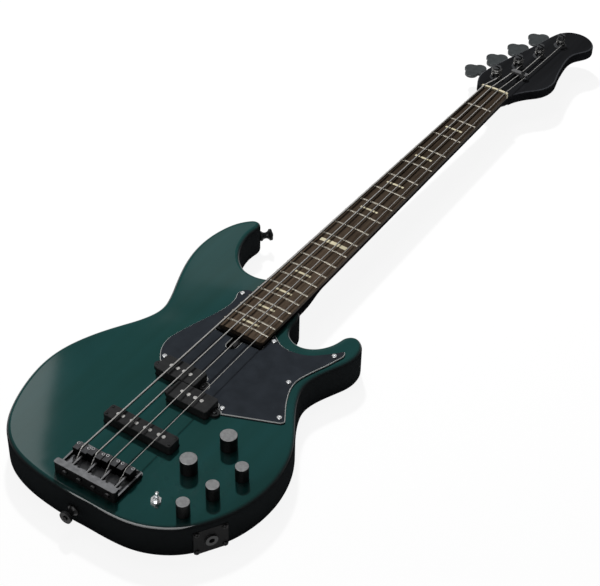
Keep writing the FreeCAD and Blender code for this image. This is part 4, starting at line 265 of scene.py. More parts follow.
class StudioSettings(bpy.types.PropertyGroup):
    """Floor, lamps and camera."""

    floor_size: bpy.props.FloatProperty(
        name="Floor", description="Side of the square floor",
        unit="LENGTH", default=80.0, min=2.0)
    ambient: bpy.props.FloatProperty(
        name="Ambient", description="Strength of the even light from all round",
        default=0.09, min=0.0)
    key: bpy.props.FloatProperty(
        name="Key lamp", description="Power of the lamp behind the bass side, which draws the shadows",
        unit="POWER", default=107.0, min=0.0)
    overhead: bpy.props.FloatProperty(
        name="Overhead lamp", description="Power of the panel above, which fills the shadows",
        unit="POWER", default=8.0, min=0.0)
    rim: bpy.props.FloatProperty(
        name="Rim lamp", description="Power of the lamp that mirrors along the body's near edge",
        unit="POWER", default=125.0, min=0.0)
    side: bpy.props.FloatProperty(
        name="Side lamp", description="Power of the panel that mirrors on the bass side",
        unit="POWER", default=4.0, min=0.0)
    horn: bpy.props.FloatProperty(
        name="Horn lamp", description="Power of the panel that mirrors on the upper horn",
        unit="POWER", default=0.40, min=0.0)
    lens: bpy.props.FloatProperty(
        name="Lens", description="Focal length of the camera",
        unit="CAMERA", default=96.49, min=10.0)


def colours():
    return bpy.context.scene.bass_colours


def sizes():
    return bpy.context.scene.bass_sizes


def studio():
    return bpy.context.scene.bass_studio


def of_each_string(stem):
    """Names of the four nodes of a kind, one to a string."""
    return [f"{stem}_{string}" for string in STRINGS]


def select_only(piece):
    """Select one object and make it active."""
    bpy.ops.object.select_all(action="DESELECT")
    piece.select_set(True)
    bpy.context.view_layer.objects.active = piece


def pick(piece, kind, wanted):
    """Select the faces or edges that a test accepts, in edit mode."""
    bpy.ops.mesh.select_mode(type=kind)
    bpy.ops.mesh.select_all(action="DESELECT")
    shape = bmesh.from_edit_mesh(piece.data)
    for item in shape.faces if kind == "FACE" else shape.edges:
        if wanted(item):
            item.select_set(True)
    bmesh.update_edit_mesh(piece.data)


def is_rim(edge, top):
    """True for an edge at the height of the top, between its flat and an upright side."""
    if len(edge.link_faces) != 2 or min(v.co.z for v in edge.verts) < top - SAME_LEVEL:
        return False
    slopes = sorted(abs(face.normal.z) for face in edge.link_faces)
    return slopes[0] < WALL_SLOPE and slopes[1] > FLAT_SLOPE


def give(piece, *finishes):
    """Give a piece its finishes, the first one all over."""
    for finish in finishes:
        piece.data.materials.append(finish)


def paint_faces(piece, slot, wanted):
    """Give one of a piece's finishes to the faces that a test accepts."""
    for face in piece.data.polygons:
        if wanted(face):
            face.material_index = slot


def own_copy(source, name):
    """Copy an object with a mesh of its own, and select only the copy."""
    piece = bpy.data.objects.new(name, source.data.copy())
    bpy.context.scene.collection.objects.link(piece)
    select_only(piece)
    return piece


def merged_copy(node, name):
    """Copy a node into a bare piece of its own, with its loose triangles joined."""
    piece = own_copy(frame["nodes"][node], name)
    piece.data.materials.clear()
    if piece.data.has_custom_normals:
        bpy.ops.mesh.customdata_custom_splitnormals_clear()
    bpy.ops.object.mode_set(mode="EDIT")
    bpy.ops.mesh.select_all(action="SELECT")
    bpy.ops.mesh.remove_doubles(threshold=SAME_POINT)
    bpy.ops.object.mode_set(mode="OBJECT")
    return piece


def moved_copy(first, name, step):
    """Copy a piece, with its mesh moved by a step."""
    piece = own_copy(first, name)
    bpy.ops.object.mode_set(mode="EDIT")
    bpy.ops.mesh.select_all(action="SELECT")
    bpy.ops.transform.translate(value=step)
    bpy.ops.object.mode_set(mode="OBJECT")
    return piece


def upright_cylinder(name, faces, radius, depth, middle):
    """Add a cylinder to shape further, with its place in its mesh."""
    bpy.ops.object.select_all(action="DESELECT")
    bpy.ops.mesh.primitive_cylinder_add(
        vertices=faces, radius=radius, depth=depth, location=middle)
    piece = bpy.context.active_object
    piece.name = name
    bpy.ops.object.transform_apply(location=True, rotation=True, scale=True)
    return piece


def extrude(rise):
    """Extrude the selected faces straight up or down."""
    bpy.ops.mesh.extrude_region_move(TRANSFORM_OT_translate={"value": (0, 0, rise)})


def soften(piece, degrees):
    """Shade smoothly across edges that turn less than an angle."""
    select_only(piece)
    bpy.ops.object.shade_smooth_by_angle(angle=math.radians(degrees))


def settle(piece, node):
    """Put a finished piece in the place of the node it stands for."""
    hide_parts(node)
    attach(piece, frame["nodes"][node]["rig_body"])


def dress(finish, *nodes):
    """Give nodes that keep their shape a finish."""
    for node in nodes:
        mesh = frame["nodes"][node].data
        mesh.materials.clear()
        mesh.materials.append(finish)


def feed(tree, socket, value):
    """Link a socket to another node's output, or set it to a plain value."""
    if isinstance(value, bpy.types.NodeSocket):
        tree.links.new(value, socket)
    else:
        socket.default_value = value


def add_node(tree, kind, **inputs):
    """Add a shader node and feed its inputs, named with _ for a space."""
    node = tree.nodes.new("ShaderNode" + kind)
    for name, value in inputs.items():
        feed(tree, node.inputs[name.replace("_", " ")], value)
    return node


def calculate(tree, operation, *values):
    """Result of a Math node on one or two values."""
    node = add_node(tree, "Math")
    node.operation = operation
    for socket, value in zip(node.inputs, values):
        feed(tree, socket, value)
    return node.outputs[0]


def shade(colour, share):
    """A colour made darker or lighter by a share."""
    return tuple(min(1.0, part * share) for part in colour)


class Finish:
    """A material under construction: its node tree, shader and surface coordinates."""

    def __init__(self, name, metallic=0.0):
        self.material = bpy.data.materials.new(name)
        self.material.use_nodes = True
        self.tree = self.material.node_tree
        self.shader = self.tree.nodes["Principled BSDF"]
        self.place = add_node(self.tree, "TexCoord").outputs["Object"]
        self.set(Metallic=metallic)

    def set(self, **values):
        """Feed the shader's own sockets, named with _ for a space."""
        for name, value in values.items():
            feed(self.tree, self.shader.inputs[name.replace("_", " ")], value)

    def noise(self, scale, detail=4.0, stretch=(1.0, 1.0, 1.0)):
        """Noise of a scale in features to the metre, stretched along each axis."""
        stretched = add_node(self.tree, "Mapping", Vector=self.place, Scale=stretch)
        noise = add_node(
            self.tree, "TexNoise", Vector=stretched.outputs["Vector"], Scale=scale, Detail=detail)
        return noise.outputs["Fac"]

    def bands(self, pitch, axis):
        """Even bands across an axis, a pitch apart."""
        wave = add_node(
            self.tree, "TexWave", Vector=self.place, Scale=2 * math.pi / (WAVE_RATE * pitch))
        wave.wave_type = "BANDS"
        wave.bands_direction = axis
        return wave.outputs["Fac"]

    def ramp(self, value, dark, light, start=0.35, end=0.65):
        """Colour between two ends, from a value."""
        ramp = add_node(self.tree, "ValToRGB", Fac=value)
        first, last = ramp.color_ramp.elements
        first.position = start
        last.position = end
        first.color = (*dark, 1.0)
        last.color = (*light, 1.0)
        return ramp.outputs["Color"]

    def spread(self, value, low, high, start=0.3, end=0.7):
        """A value between a start and an end, spread from low to high."""
        spread = add_node(
            self.tree, "MapRange", Value=value,
            From_Min=start, From_Max=end, To_Min=low, To_Max=high)
        return spread.outputs["Result"]

    def mixed(self, factor, first, second, blend="MIX"):
        """Two colours mixed by a factor, each a plain colour or a node's output."""
        mix = add_node(self.tree, "Mix")
        mix.data_type = "RGBA"
        mix.blend_type = blend
        feed(self.tree, mix.inputs["Factor"], factor)
        for socket, value in zip(MIX_COLOURS, (first, second)):
            if not isinstance(value, bpy.types.NodeSocket):
                value = (*value, 1.0)
            feed(self.tree, mix.inputs[socket], value)
        return mix.outputs[MIX_RESULT]

    def level(self):
        """How level the surface lies, from 0 for a wall to 1 for a top."""
        normal = add_node(self.tree, "NewGeometry").outputs["Normal"]
        upright = add_node(self.tree, "SeparateXYZ", Vector=normal).outputs["Z"]
        return calculate(self.tree, "ABSOLUTE", upright)

    def upward(self, start, end, most=1.0):
        """Rise with the surface's level, from 0 at one share to its most at another."""
        return self.spread(self.level(), 0.0, most, start, end)

    def beyond(self, start, end):
        """How far along the strings, from 0 at one place to 1 at another."""
        along = add_node(self.tree, "SeparateXYZ", Vector=self.place).outputs["Y"]
        return self.spread(along, 0.0, 1.0, start, end)

    def both(self, first, second):
        """The product of two shares."""
        return calculate(self.tree, "MULTIPLY", first, second)

    def bump(self, value, strength, distance):
        """Normal of a surface that a value raises, by a distance in metres at most."""
        bump = add_node(self.tree, "Bump", Height=value, Strength=strength, Distance=distance)
        return bump.outputs["Normal"]


def teal_lacquer():
    """Clear teal gloss over straight grain, with a dark burst and painted shade round the sides."""
    finish = Finish("teal_lacquer")
    grain = finish.noise(scale=42.0, detail=6.0, stretch=(1.0, 0.06, 1.0))
    wood = finish.ramp(grain, colours().lacquer_deep, colours().lacquer, start=0.25, end=0.75)
    clouds = finish.noise(scale=11.0, detail=3.0, stretch=(1.0, 0.45, 1.0))
    cloudy = finish.spread(clouds, low=0.0, high=0.36, start=0.46, end=0.68)
    wood = finish.mixed(cloudy, wood, shade(colours().lacquer_deep, share=0.55))
    # Painted shade, partly a dark burst: faces that turn away from upright take the near-black side
    # colour.
    top = finish.upward(start=0.62, end=0.97)
    skin = finish.noise(scale=260.0, detail=2.0)
    finish.set(
        Base_Color=finish.mixed(top, colours().lacquer_side_burst_and_shade, wood),
        Roughness=finish.spread(finish.noise(scale=9.0), low=0.40, high=0.52),
        Normal=finish.bump(skin, strength=0.02, distance=0.0002),
        Coat_Weight=finish.upward(start=0.45, end=0.80),
        Coat_Roughness=0.09,
        Specular_IOR_Level=0.0)
    return finish.material


def satin_black():
    """Black satin of the neck, with a faint grain under it, and a painted highlight along the
    headstock's edge.
    """
    finish = Finish("satin_black")
    grain = finish.noise(scale=60.0, detail=5.0, stretch=(1.0, 0.05, 1.0))
    satin = finish.ramp(grain, shade(colours().neck, share=0.7), shade(colours().neck, share=1.3))
    off_level = finish.spread(finish.level(), low=1.0, high=0.0, start=0.95, end=0.995)
    edge = finish.both(finish.upward(start=0.45, end=0.85), off_level)
    # Painted highlight: the headstock's sloping edge is coloured six times paler than the satin.
    edge_highlight = finish.both(edge, finish.beyond(HEAD_START, HEAD_START + HEAD_FADE))
    skin = finish.noise(scale=900.0, detail=2.0)
    finish.set(
        Base_Color=finish.mixed(edge_highlight, satin, shade(colours().neck, share=6.0)),
        Roughness=finish.spread(finish.noise(scale=25.0), low=0.36, high=0.48),
        Normal=finish.bump(skin, strength=0.06, distance=0.0002),
        Coat_Weight=finish.upward(start=0.30, end=0.70, most=0.40),
        Coat_Roughness=0.34,
        Specular_IOR_Level=0.0)
    return finish.material


def rosewood():
    """Brown board with dark streaks and short open pores along it, darker towards the nut."""
    finish = Finish("rosewood")
    streaks = finish.noise(scale=330.0, detail=7.0, stretch=(1.0, 0.035, 1.0))
    wood = finish.ramp(streaks, colours().board_dark, colours().board, start=0.28, end=0.66)
    pores = finish.noise(scale=1500.0, detail=2.0, stretch=(1.0, 0.04, 1.0))
    open_pores = finish.spread(pores, low=1.0, high=0.0, start=0.30, end=0.42)
    wood = finish.mixed(open_pores, wood, shade(colours().board_dark, share=0.5))
    nearer_nut = finish.beyond(BOARD_SHADE_START, BOARD_SHADE_END)
    finish.set(
        Base_Color=finish.mixed(nearer_nut, wood, BOARD_SHADE, blend="MULTIPLY"),
        Roughness=finish.spread(streaks, low=0.46, high=0.62),
        Normal=finish.bump(pores, strength=0.25, distance=0.0002),
        Specular_IOR_Level=0.06)
    return finish.material


def metal(name, colour, low, high, scale=140.0, metallic=1.0):
    """Metal with faint scuffs that change its gloss, between two roughnesses."""
    finish = Finish(name, metallic)
    scuffs = finish.noise(scale, detail=5.0)
    skin = finish.noise(scale * SCUFF_FINENESS, detail=2.0)
    finish.set(
        Base_Color=finish.ramp(scuffs, shade(colour, share=0.85), shade(colour, share=1.12)),
        Roughness=finish.spread(scuffs, low, high),
        Normal=finish.bump(skin, strength=0.04, distance=0.0001))
    return finish.material


def plastic(name, colour, low, high, scale, relief, gloss=0.3):
    """Moulded plastic with a fine texture, between two roughnesses."""
    finish = Finish(name)
    mottle = finish.noise(scale / MOTTLE_FINENESS)
    skin = finish.noise(scale, detail=3.0)
    finish.set(
        Base_Color=finish.ramp(mottle, shade(colour, share=0.88), shade(colour, share=1.12)),
        Roughness=finish.spread(mottle, low, high),
        Normal=finish.bump(skin, strength=relief, distance=0.0002),
        Specular_IOR_Level=gloss)
    return finish.material


def wound_steel():
    """String wrapped in fine round wire, with painted shade down its sides and between its wraps."""
    finish = Finish("wound_steel", metallic=0.45)
    wraps = finish.bands(sizes().winding_pitch, "Y")
    # Painted shade between the wraps and painted light on their crests.
    lit = finish.ramp(wraps, WRAP_GROOVE_SHADE, WRAP_CREST_LIGHT, start=0.1, end=0.9)
    # Painted shade: faces that turn away from upright take the near-black side colour.
    top = finish.upward(start=0.60, end=0.96)
    finish.set(
        Base_Color=finish.mixed(top, STRING_SIDE_SHADE, lit),
        Roughness=finish.spread(finish.noise(scale=120.0), low=0.26, high=0.38),
        Normal=finish.bump(wraps, strength=0.35, distance=0.0002))
    return finish.material


def guard_face():
    """Satin blue-grey sheet."""
    return plastic(
        "guard_face", colours().guard, low=0.38, high=0.46, scale=500.0, relief=0.02, gloss=0.12)


def guard_core():
    """Pale core of the sheet."""
    return plastic(
        "guard_core", colours().guard_core, low=0.40, high=0.50, scale=900.0, relief=0.05)


def black_plating():
    """Black plating of small screws."""
    colour = shade(colours().black_metal, share=0.5)
    return metal("black_plating", colour, low=0.28, high=0.40, metallic=0.4)


def scuffed_plating_with_side_shade(name, colour):
    """Black plating with random scuffs, and painted shade on the faces that don't look up."""
    finish = Finish(name)
    scuffs = finish.noise(scale=180.0, detail=5.0)
    rubbed = finish.ramp(scuffs, shade(colour, share=0.82), shade(colour, share=1.15))
    # Painted shade: faces that don't look up take a twentieth of the plating's colour.
    top = finish.upward(start=0.45, end=0.95)
    skin = finish.noise(scale=1100.0, detail=2.0)
    finish.set(
        Base_Color=finish.mixed(top, shade(colour, share=0.05), rubbed),
        Roughness=finish.spread(scuffs, low=0.26, high=0.40),
        Normal=finish.bump(skin, strength=0.05, distance=0.0001),
        Specular_IOR_Level=0.03)
    return finish.material


def chrome():
    """Bright plating."""
    return metal("chrome", CHROME, low=0.08, high=0.16, metallic=0.6)


def foam_rubber():
    """Open dark foam."""
    finish = Finish("foam_rubber")
    cells = finish.noise(scale=2600.0, detail=3.0)
    finish.set(
        Base_Color=finish.ramp(cells, FOAM_DARK, FOAM_LIGHT),
        Roughness=finish.spread(cells, low=0.8, high=0.95),
        Normal=finish.bump(cells, strength=0.6, distance=0.0006))
    return finish.material


def copper_wire():
    """Fine enamelled wire, wound level, with painted shade between its turns and painted light on
    their crests.
    """
    finish = Finish("copper_wire", metallic=1.0)
    # Painted shade in the grooves between turns and painted light on their crests.
    turns = finish.bands(COIL_PITCH, "Z")
    finish.set(
        Base_Color=finish.ramp(turns, COPPER_GROOVE_SHADE, COPPER_CREST_LIGHT, start=0.1, end=0.9),
        Roughness=finish.spread(finish.noise(scale=200.0), low=0.30, high=0.42),
        Normal=finish.bump(turns, strength=0.3, distance=0.0002))
    return finish.material


class BASS_OT_body(bpy.types.Operator):
    """Lacquer the body"""

    bl_idname = "bass.body"
    bl_label = "Body"

    def execute(self, context):
        piece = merged_copy("body", "body_slab")
        soften(piece, SLAB_SHADING)
        give(piece, teal_lacquer())
        settle(piece, "body")
        return {"FINISHED"}


class BASS_OT_neck(bpy.types.Operator):
    """Finish the neck, its board and what is set in it"""

    bl_idname = "bass.neck"
    bl_label = "Neck and fretboard"

    def execute(self, context):
        piece = merged_copy("neck", "neck_shaft")
        self.round_head(piece)
        soften(piece, ROUND_SHADING)
        give(piece, satin_black())
        settle(piece, "neck")
        dress(rosewood(), "fretboard")
        nickel = metal("fret_nickel", FRET_NICKEL, low=0.26, high=0.38, metallic=0.5)
        dress(nickel, "frets")
        cream = plastic(
            "cream_bone", colours().cream, low=0.35, high=0.50, scale=600.0, relief=0.04)
        dress(cream, "nut", "position_markers")
        dress(metal("rod_steel", ROD_STEEL, low=0.30, high=0.45, metallic=0.5), "truss_rod")
        dress(metal("bolt_steel", BOLT_STEEL, low=0.24, high=0.38), "neck_bolts", "ferrules")
        return {"FINISHED"}

    def round_head(self, piece):
        """Round the headstock's top edge, all round beyond the nut."""
        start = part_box("nut")[1].y + HEAD_ROUND_START
        bpy.ops.object.mode_set(mode="EDIT")
        pick(piece, "FACE", lambda face: face.calc_center_median().y > start)
        bpy.ops.mesh.dissolve_limited(angle_limit=FLAT_ANGLE)
        top = max(v.co.z for v in bmesh.from_edit_mesh(piece.data).verts if v.co.y > start)
        posts = [sum(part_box(f"tuner_post_{string}"), Vector()) / 2 for string in STRINGS]
        pick(piece, "EDGE", lambda edge: self.on_head_rim(edge, start, top, posts))
        bpy.ops.mesh.bevel(
            offset=sizes().head_round, segments=HEAD_ROUND_STEPS, affect="EDGES",
            clamp_overlap=False)
        bpy.ops.object.mode_set(mode="OBJECT")

    def on_head_rim(self, edge, start, top, posts):
        """True for an edge of the headstock's outline, away from the holes of the posts."""
        if not is_rim(edge, top) or min(v.co.y for v in edge.verts) < start:
            return False
        middle = (edge.verts[0].co + edge.verts[1].co) / 2
        return min((middle - post).xy.length for post in posts) >= POST_CLEAR


class BASS_OT_guard(bpy.types.Operator):
    """Bevel the pickguard so that its pale core shows, and plate its screws"""

    bl_idname = "bass.guard"
    bl_label = "Pickguard"

    def execute(self, context):
        piece = merged_copy("pickguard", "guard_sheet")
        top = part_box("pickguard")[1].z
        bpy.ops.object.mode_set(mode="EDIT")
        bpy.ops.mesh.select_all(action="SELECT")
        bpy.ops.mesh.dissolve_limited(angle_limit=FLAT_ANGLE)
        pick(piece, "EDGE", lambda edge: is_rim(edge, top))
        bpy.ops.mesh.bevel(
            offset=sizes().guard_bevel, segments=GUARD_BEVEL_STEPS, affect="EDGES")
        bpy.ops.object.mode_set(mode="OBJECT")
        give(piece, guard_face(), guard_core())
        paint_faces(
            piece, SECOND_FINISH, lambda face: GUARD_BEVEL_LOW < face.normal.z < GUARD_BEVEL_HIGH)
        settle(piece, "pickguard")
        dress(chrome(), "pickguard_screws")
        return {"FINISHED"}


class BASS_OT_pickups(bpy.types.Operator):
    """Finish the pickups, their poles, coils and screws"""

    bl_idname = "bass.pickups"
    bl_label = "Pickups"

    def execute(self, context):
        cover = plastic(
            "pickup_cover", colours().plastic, low=0.42, high=0.56, scale=1400.0, relief=0.12,
            gloss=0.08)
        dress(cover, "split_pickup_covers", "bridge_pickup_cover")
        dress(metal("pole_iron", POLE_IRON, low=0.28, high=0.42, metallic=0.4), "pole_pieces")
        dress(copper_wire(), "pickup_coils")
        dress(foam_rubber(), "pickup_foam")
        dress(black_plating(), "pickup_screws")
        return {"FINISHED"}


class BASS_OT_bridge(bpy.types.Operator):
    """Plate the bridge, its saddles and screws"""

    bl_idname = "bass.bridge"
    bl_label = "Bridge"

    def execute(self, context):
        dress(scuffed_plating_with_side_shade("bridge_plating", BRIDGE_BLACK), "bridge_plate")
        dress(black_plating(), "bridge_screws")
        dress(scuffed_plating_with_side_shade("screw_plating", SCREW_BLACK), *of_each_string("setting_screw"))
        plating = scuffed_plating_with_side_shade("saddle_plating", SADDLE_BLACK)
        steel = metal("screw_steel", SCREW_STEEL, low=0.14, high=0.26, metallic=0.5)
        first_head = None
        for node in of_each_string("saddle"):
            saddle = merged_copy(node, node + "_fitted")
            soften(saddle, SLAB_SHADING)
            give(saddle, plating)
            for place in self.screw_places(node):
                if first_head is None:
                    first_head = self.socket_head(place, plating, steel)
                    first_place = place
                    first_saddle = saddle
                else:
                    self.seat(saddle, moved_copy(first_head, "socket_head", place - first_place))
            settle(saddle, node)
        # The first head is seated last, because the others are copied from it.
        self.seat(first_saddle, first_head)
        return {"FINISHED"}

    def screw_places(self, node):
        """Tops of a saddle's two height screws."""
        low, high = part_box(node)
        middle = (low.x + high.x) / 2
        y = high.y - SADDLE_FRONT
        return [Vector((middle + side * HEIGHT_SCREW_REACH, y, high.z)) for side in (-1, 1)]

    def socket_head(self, place, plating, steel):
        """Model the round head of a height screw, with painted shade in its socket."""
        piece = upright_cylinder(
            "socket_head", SOCKET_HEAD_FACES, SOCKET_HEAD_RADIUS, SOCKET_HEAD_HEIGHT,
            place - Vector((0, 0, SOCKET_HEAD_HEIGHT / 2)))
        bpy.ops.object.mode_set(mode="EDIT")
        pick(piece, "EDGE", lambda edge: is_rim(edge, place.z))
        bpy.ops.mesh.bevel(offset=SOCKET_HEAD_EDGE, segments=SOCKET_EDGE_STEPS, affect="EDGES")
        pick(piece, "FACE", lambda face: face.normal.z > FLAT_SLOPE)
        bpy.ops.mesh.inset(thickness=SOCKET_RIM, depth=0)
        extrude(-SOCKET_DEPTH)
        bpy.ops.object.mode_set(mode="OBJECT")
        soften(piece, ROUND_SHADING)
        give(piece, steel, plating)
        # Painted shade: the socket's walls and floor take the near-black saddle plating.
        floor = place.z - SOCKET_HEAD_EDGE - SAME_LEVEL
        reach = SOCKET_HEAD_RADIUS - SOCKET_HEAD_EDGE
        paint_faces(
            piece, SECOND_FINISH,
            lambda face: (face.center - place).xy.length < reach and face.center.z < floor)
        return piece

    def seat(self, saddle, head):
        """Join a screw head to its saddle."""
        select_only(saddle)
        head.select_set(True)
        bpy.ops.object.join()


class BASS_OT_strings(bpy.types.Operator):
    """Wind the strings and finish the retainer"""

    bl_idname = "bass.strings"
    bl_label = "Strings"

    def execute(self, context):
        dress(wound_steel(), "strings")
        turns = metal("post_turns", TURNS_STEEL, low=0.28, high=0.40, metallic=0.7)
        dress(turns, *of_each_string("string_winding"))
        retainer = metal("retainer_plating", RETAINER_BLACK, low=0.26, high=0.38, metallic=0.4)
        dress(retainer, "string_retainer")
        return {"FINISHED"}


class BASS_OT_tuners(bpy.types.Operator):
    """Plate the tuners"""

    bl_idname = "bass.tuners"
    bl_label = "Tuners"

    def execute(self, context):
        colour = shade(colours().black_metal, share=1.5)
        plating = metal("tuner_plating", colour, low=0.20, high=0.32, metallic=0.6)
        dress(plating, "tuner_bushings", "tuner_plates", *of_each_string("tuner_post"))
        keys = metal("key_plating", KEY_BLACK, low=0.36, high=0.48, metallic=0.3)
        dress(keys, *of_each_string("tuner_key"))
        return {"FINISHED"}


class BASS_OT_knobs(bpy.types.Operator):
    """Turn the five knobs, with knurled sides and flat tops"""

    bl_idname = "bass.knobs"
    bl_label = "Knobs"

    def execute(self, context):
        side = plastic(
            "knob_side", shade(colours().black_metal, share=0.12), low=0.30, high=0.42,
            scale=900.0, relief=0.05, gloss=0.08)
        top = metal(
            "knob_top", colours().knob_top, low=0.38, high=0.50, scale=300.0, metallic=0.5)
        for nodes in (LARGE_KNOBS, SMALL_KNOBS):
            first = self.turn(nodes[0], side, top)
            for node in nodes[1:]:
                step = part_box(node)[0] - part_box(nodes[0])[0]
                settle(moved_copy(first, node + "_turned", step), node)
            settle(first, nodes[0])
        return {"FINISHED"}

    def turn(self, node, side, top):
        """Model one knob on its shaft, in its place."""
        low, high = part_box(node)
        base = self.skirt(node)
        middle = (low + high) / 2
        radius = (high.x - low.x) / 2
        piece = upright_cylinder(
            node + "_turned", KNOB_FACES, radius, high.z - base,
            (middle.x, middle.y, (high.z + base) / 2))
        bpy.ops.object.mode_set(mode="EDIT")
        self.hollow(piece, base, radius, low.z)
        self.knurl(piece, base, high.z)
        self.crown(piece, high.z)
        bpy.ops.object.mode_set(mode="OBJECT")
        soften(piece, ROUND_SHADING)
        give(piece, side, top)
        edge = high.z - sizes().knob_edge
        paint_faces(
            piece, SECOND_FINISH,
            lambda face: face.normal.z > KNOB_TOP_SLOPE and face.center.z > edge)
        return piece

    def skirt(self, node):
        """Height of the knob's lower rim, where its mesh is widest."""
        low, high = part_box(node)
        middle = (low + high) / 2
        reach = (high.x - low.x) / 2 * KNOB_SKIRT_SHARE
        points = [v.co for v in frame["nodes"][node].data.vertices]
        return min(point.z for point in points if (point - middle).xy.length > reach)

    def hollow(self, piece, base, radius, foot):
        """Recess the underside round the nut and draw the shaft down from it."""
        pick(piece, "FACE", lambda face: face.normal.z < KNOB_UNDER_SLOPE)
        bpy.ops.mesh.inset(thickness=radius - KNOB_RECESS_RADIUS, depth=0)
        extrude(KNOB_RECESS_DEPTH)
        bpy.ops.mesh.inset(thickness=KNOB_SHAFT_STEP, depth=0)
        extrude(foot - base - KNOB_RECESS_DEPTH)

    def knurl(self, piece, base, high):
        """Cut fine upright grooves round the side, between two plain rims."""
        lower = base + KNOB_LOWER_RIM
        upper = high - KNOB_UPPER_RIM
        for level in (lower, upper):
            bpy.ops.mesh.select_all(action="SELECT")
            bpy.ops.mesh.bisect(plane_co=(0, 0, level), plane_no=(0, 0, 1))
        pick(
            piece, "FACE",
            lambda face: self.grooved(face, lower + KNURL_INSIDE, upper - KNURL_INSIDE))
        bpy.ops.mesh.inset(
            thickness=KNURL_MARGIN, depth=-sizes().knob_groove, use_individual=True)

    def grooved(self, face, lower, upper):
        """True for every other face of the band between two heights."""
        middle = face.calc_center_median()
        if abs(face.normal.z) > WALL_SLOPE or not lower < middle.z < upper:
            return False
        turn = math.atan2(face.normal.y, face.normal.x) / (2 * math.pi) * KNOB_FACES
        # A face looks out half a face past the corner where it starts.
        return round(turn - 0.5) % 2 == 0

    def crown(self, piece, high):
        """Round the top edge, with a narrow flat ring inside it so that the top shades level."""
        pick(piece, "EDGE", lambda edge: is_rim(edge, high))
        bpy.ops.mesh.bevel(offset=sizes().knob_edge, segments=KNOB_EDGE_STEPS, affect="EDGES")
        pick(piece, "FACE", lambda face: self.on_top(face, high))
        bpy.ops.mesh.inset(thickness=KNOB_TOP_RING, depth=0)

    def on_top(self, face, high):
        """True for the flat top."""
        return face.normal.z > FLAT_SLOPE and face.calc_center_median().z > high - SAME_LEVEL


class BASS_OT_switch(bpy.types.Operator):
    """Plate the toggle switch and the controls under the top"""

    bl_idname = "bass.switch"
    bl_label = "Switch and controls"

    def execute(self, context):
        dress(chrome(), "toggle_switch", "toggle_lever")
        dress(metal("pot_case", POT_STEEL, low=0.28, high=0.40), "potentiometers")
        return {"FINISHED"}


class BASS_OT_edge(bpy.types.Operator):
    """Finish the jack, the strap buttons and the black screws"""

    bl_idname = "bass.edge"
    bl_label = "Jack and strap buttons"

    def execute(self, context):
        plate = plastic(
            "jack_plate_plastic", JACK_BLACK, low=0.40, high=0.52, scale=900.0, relief=0.10,
            gloss=0.05)
        dress(plate, "jack_plate")
        black = plastic(
            "edge_plating", shade(colours().black_metal, share=0.22), low=0.26, high=0.38,
            scale=800.0, relief=0.04, gloss=0.12)
        dress(black, "strap_buttons", "black_screws")
        colour = shade(colours().black_metal, share=0.4)
        dress(metal("jack_plating", colour, low=0.28, high=0.40, metallic=0.3), "jack_socket")
        return {"FINISHED"}


class BASS_OT_back(bpy.types.Operator):
    """Finish the covers and the electrics behind them"""

    bl_idname = "bass.back"
    bl_label = "Back and electrics"

    def execute(self, context):
        cover = plastic(
            "back_cover", colours().plastic, low=0.38, high=0.50, scale=1100.0, relief=0.10)
        dress(cover, "control_cover", "battery_tray", "battery_lid")
        card = plastic("circuit_card", CARD_GREEN, low=0.34, high=0.46, scale=500.0, relief=0.05)
        dress(card, "preamp_board")
        case = plastic("battery_case", BATTERY_BLACK, low=0.26, high=0.36, scale=400.0, relief=0.03)
        dress(case, "battery")
        return {"FINISHED"}


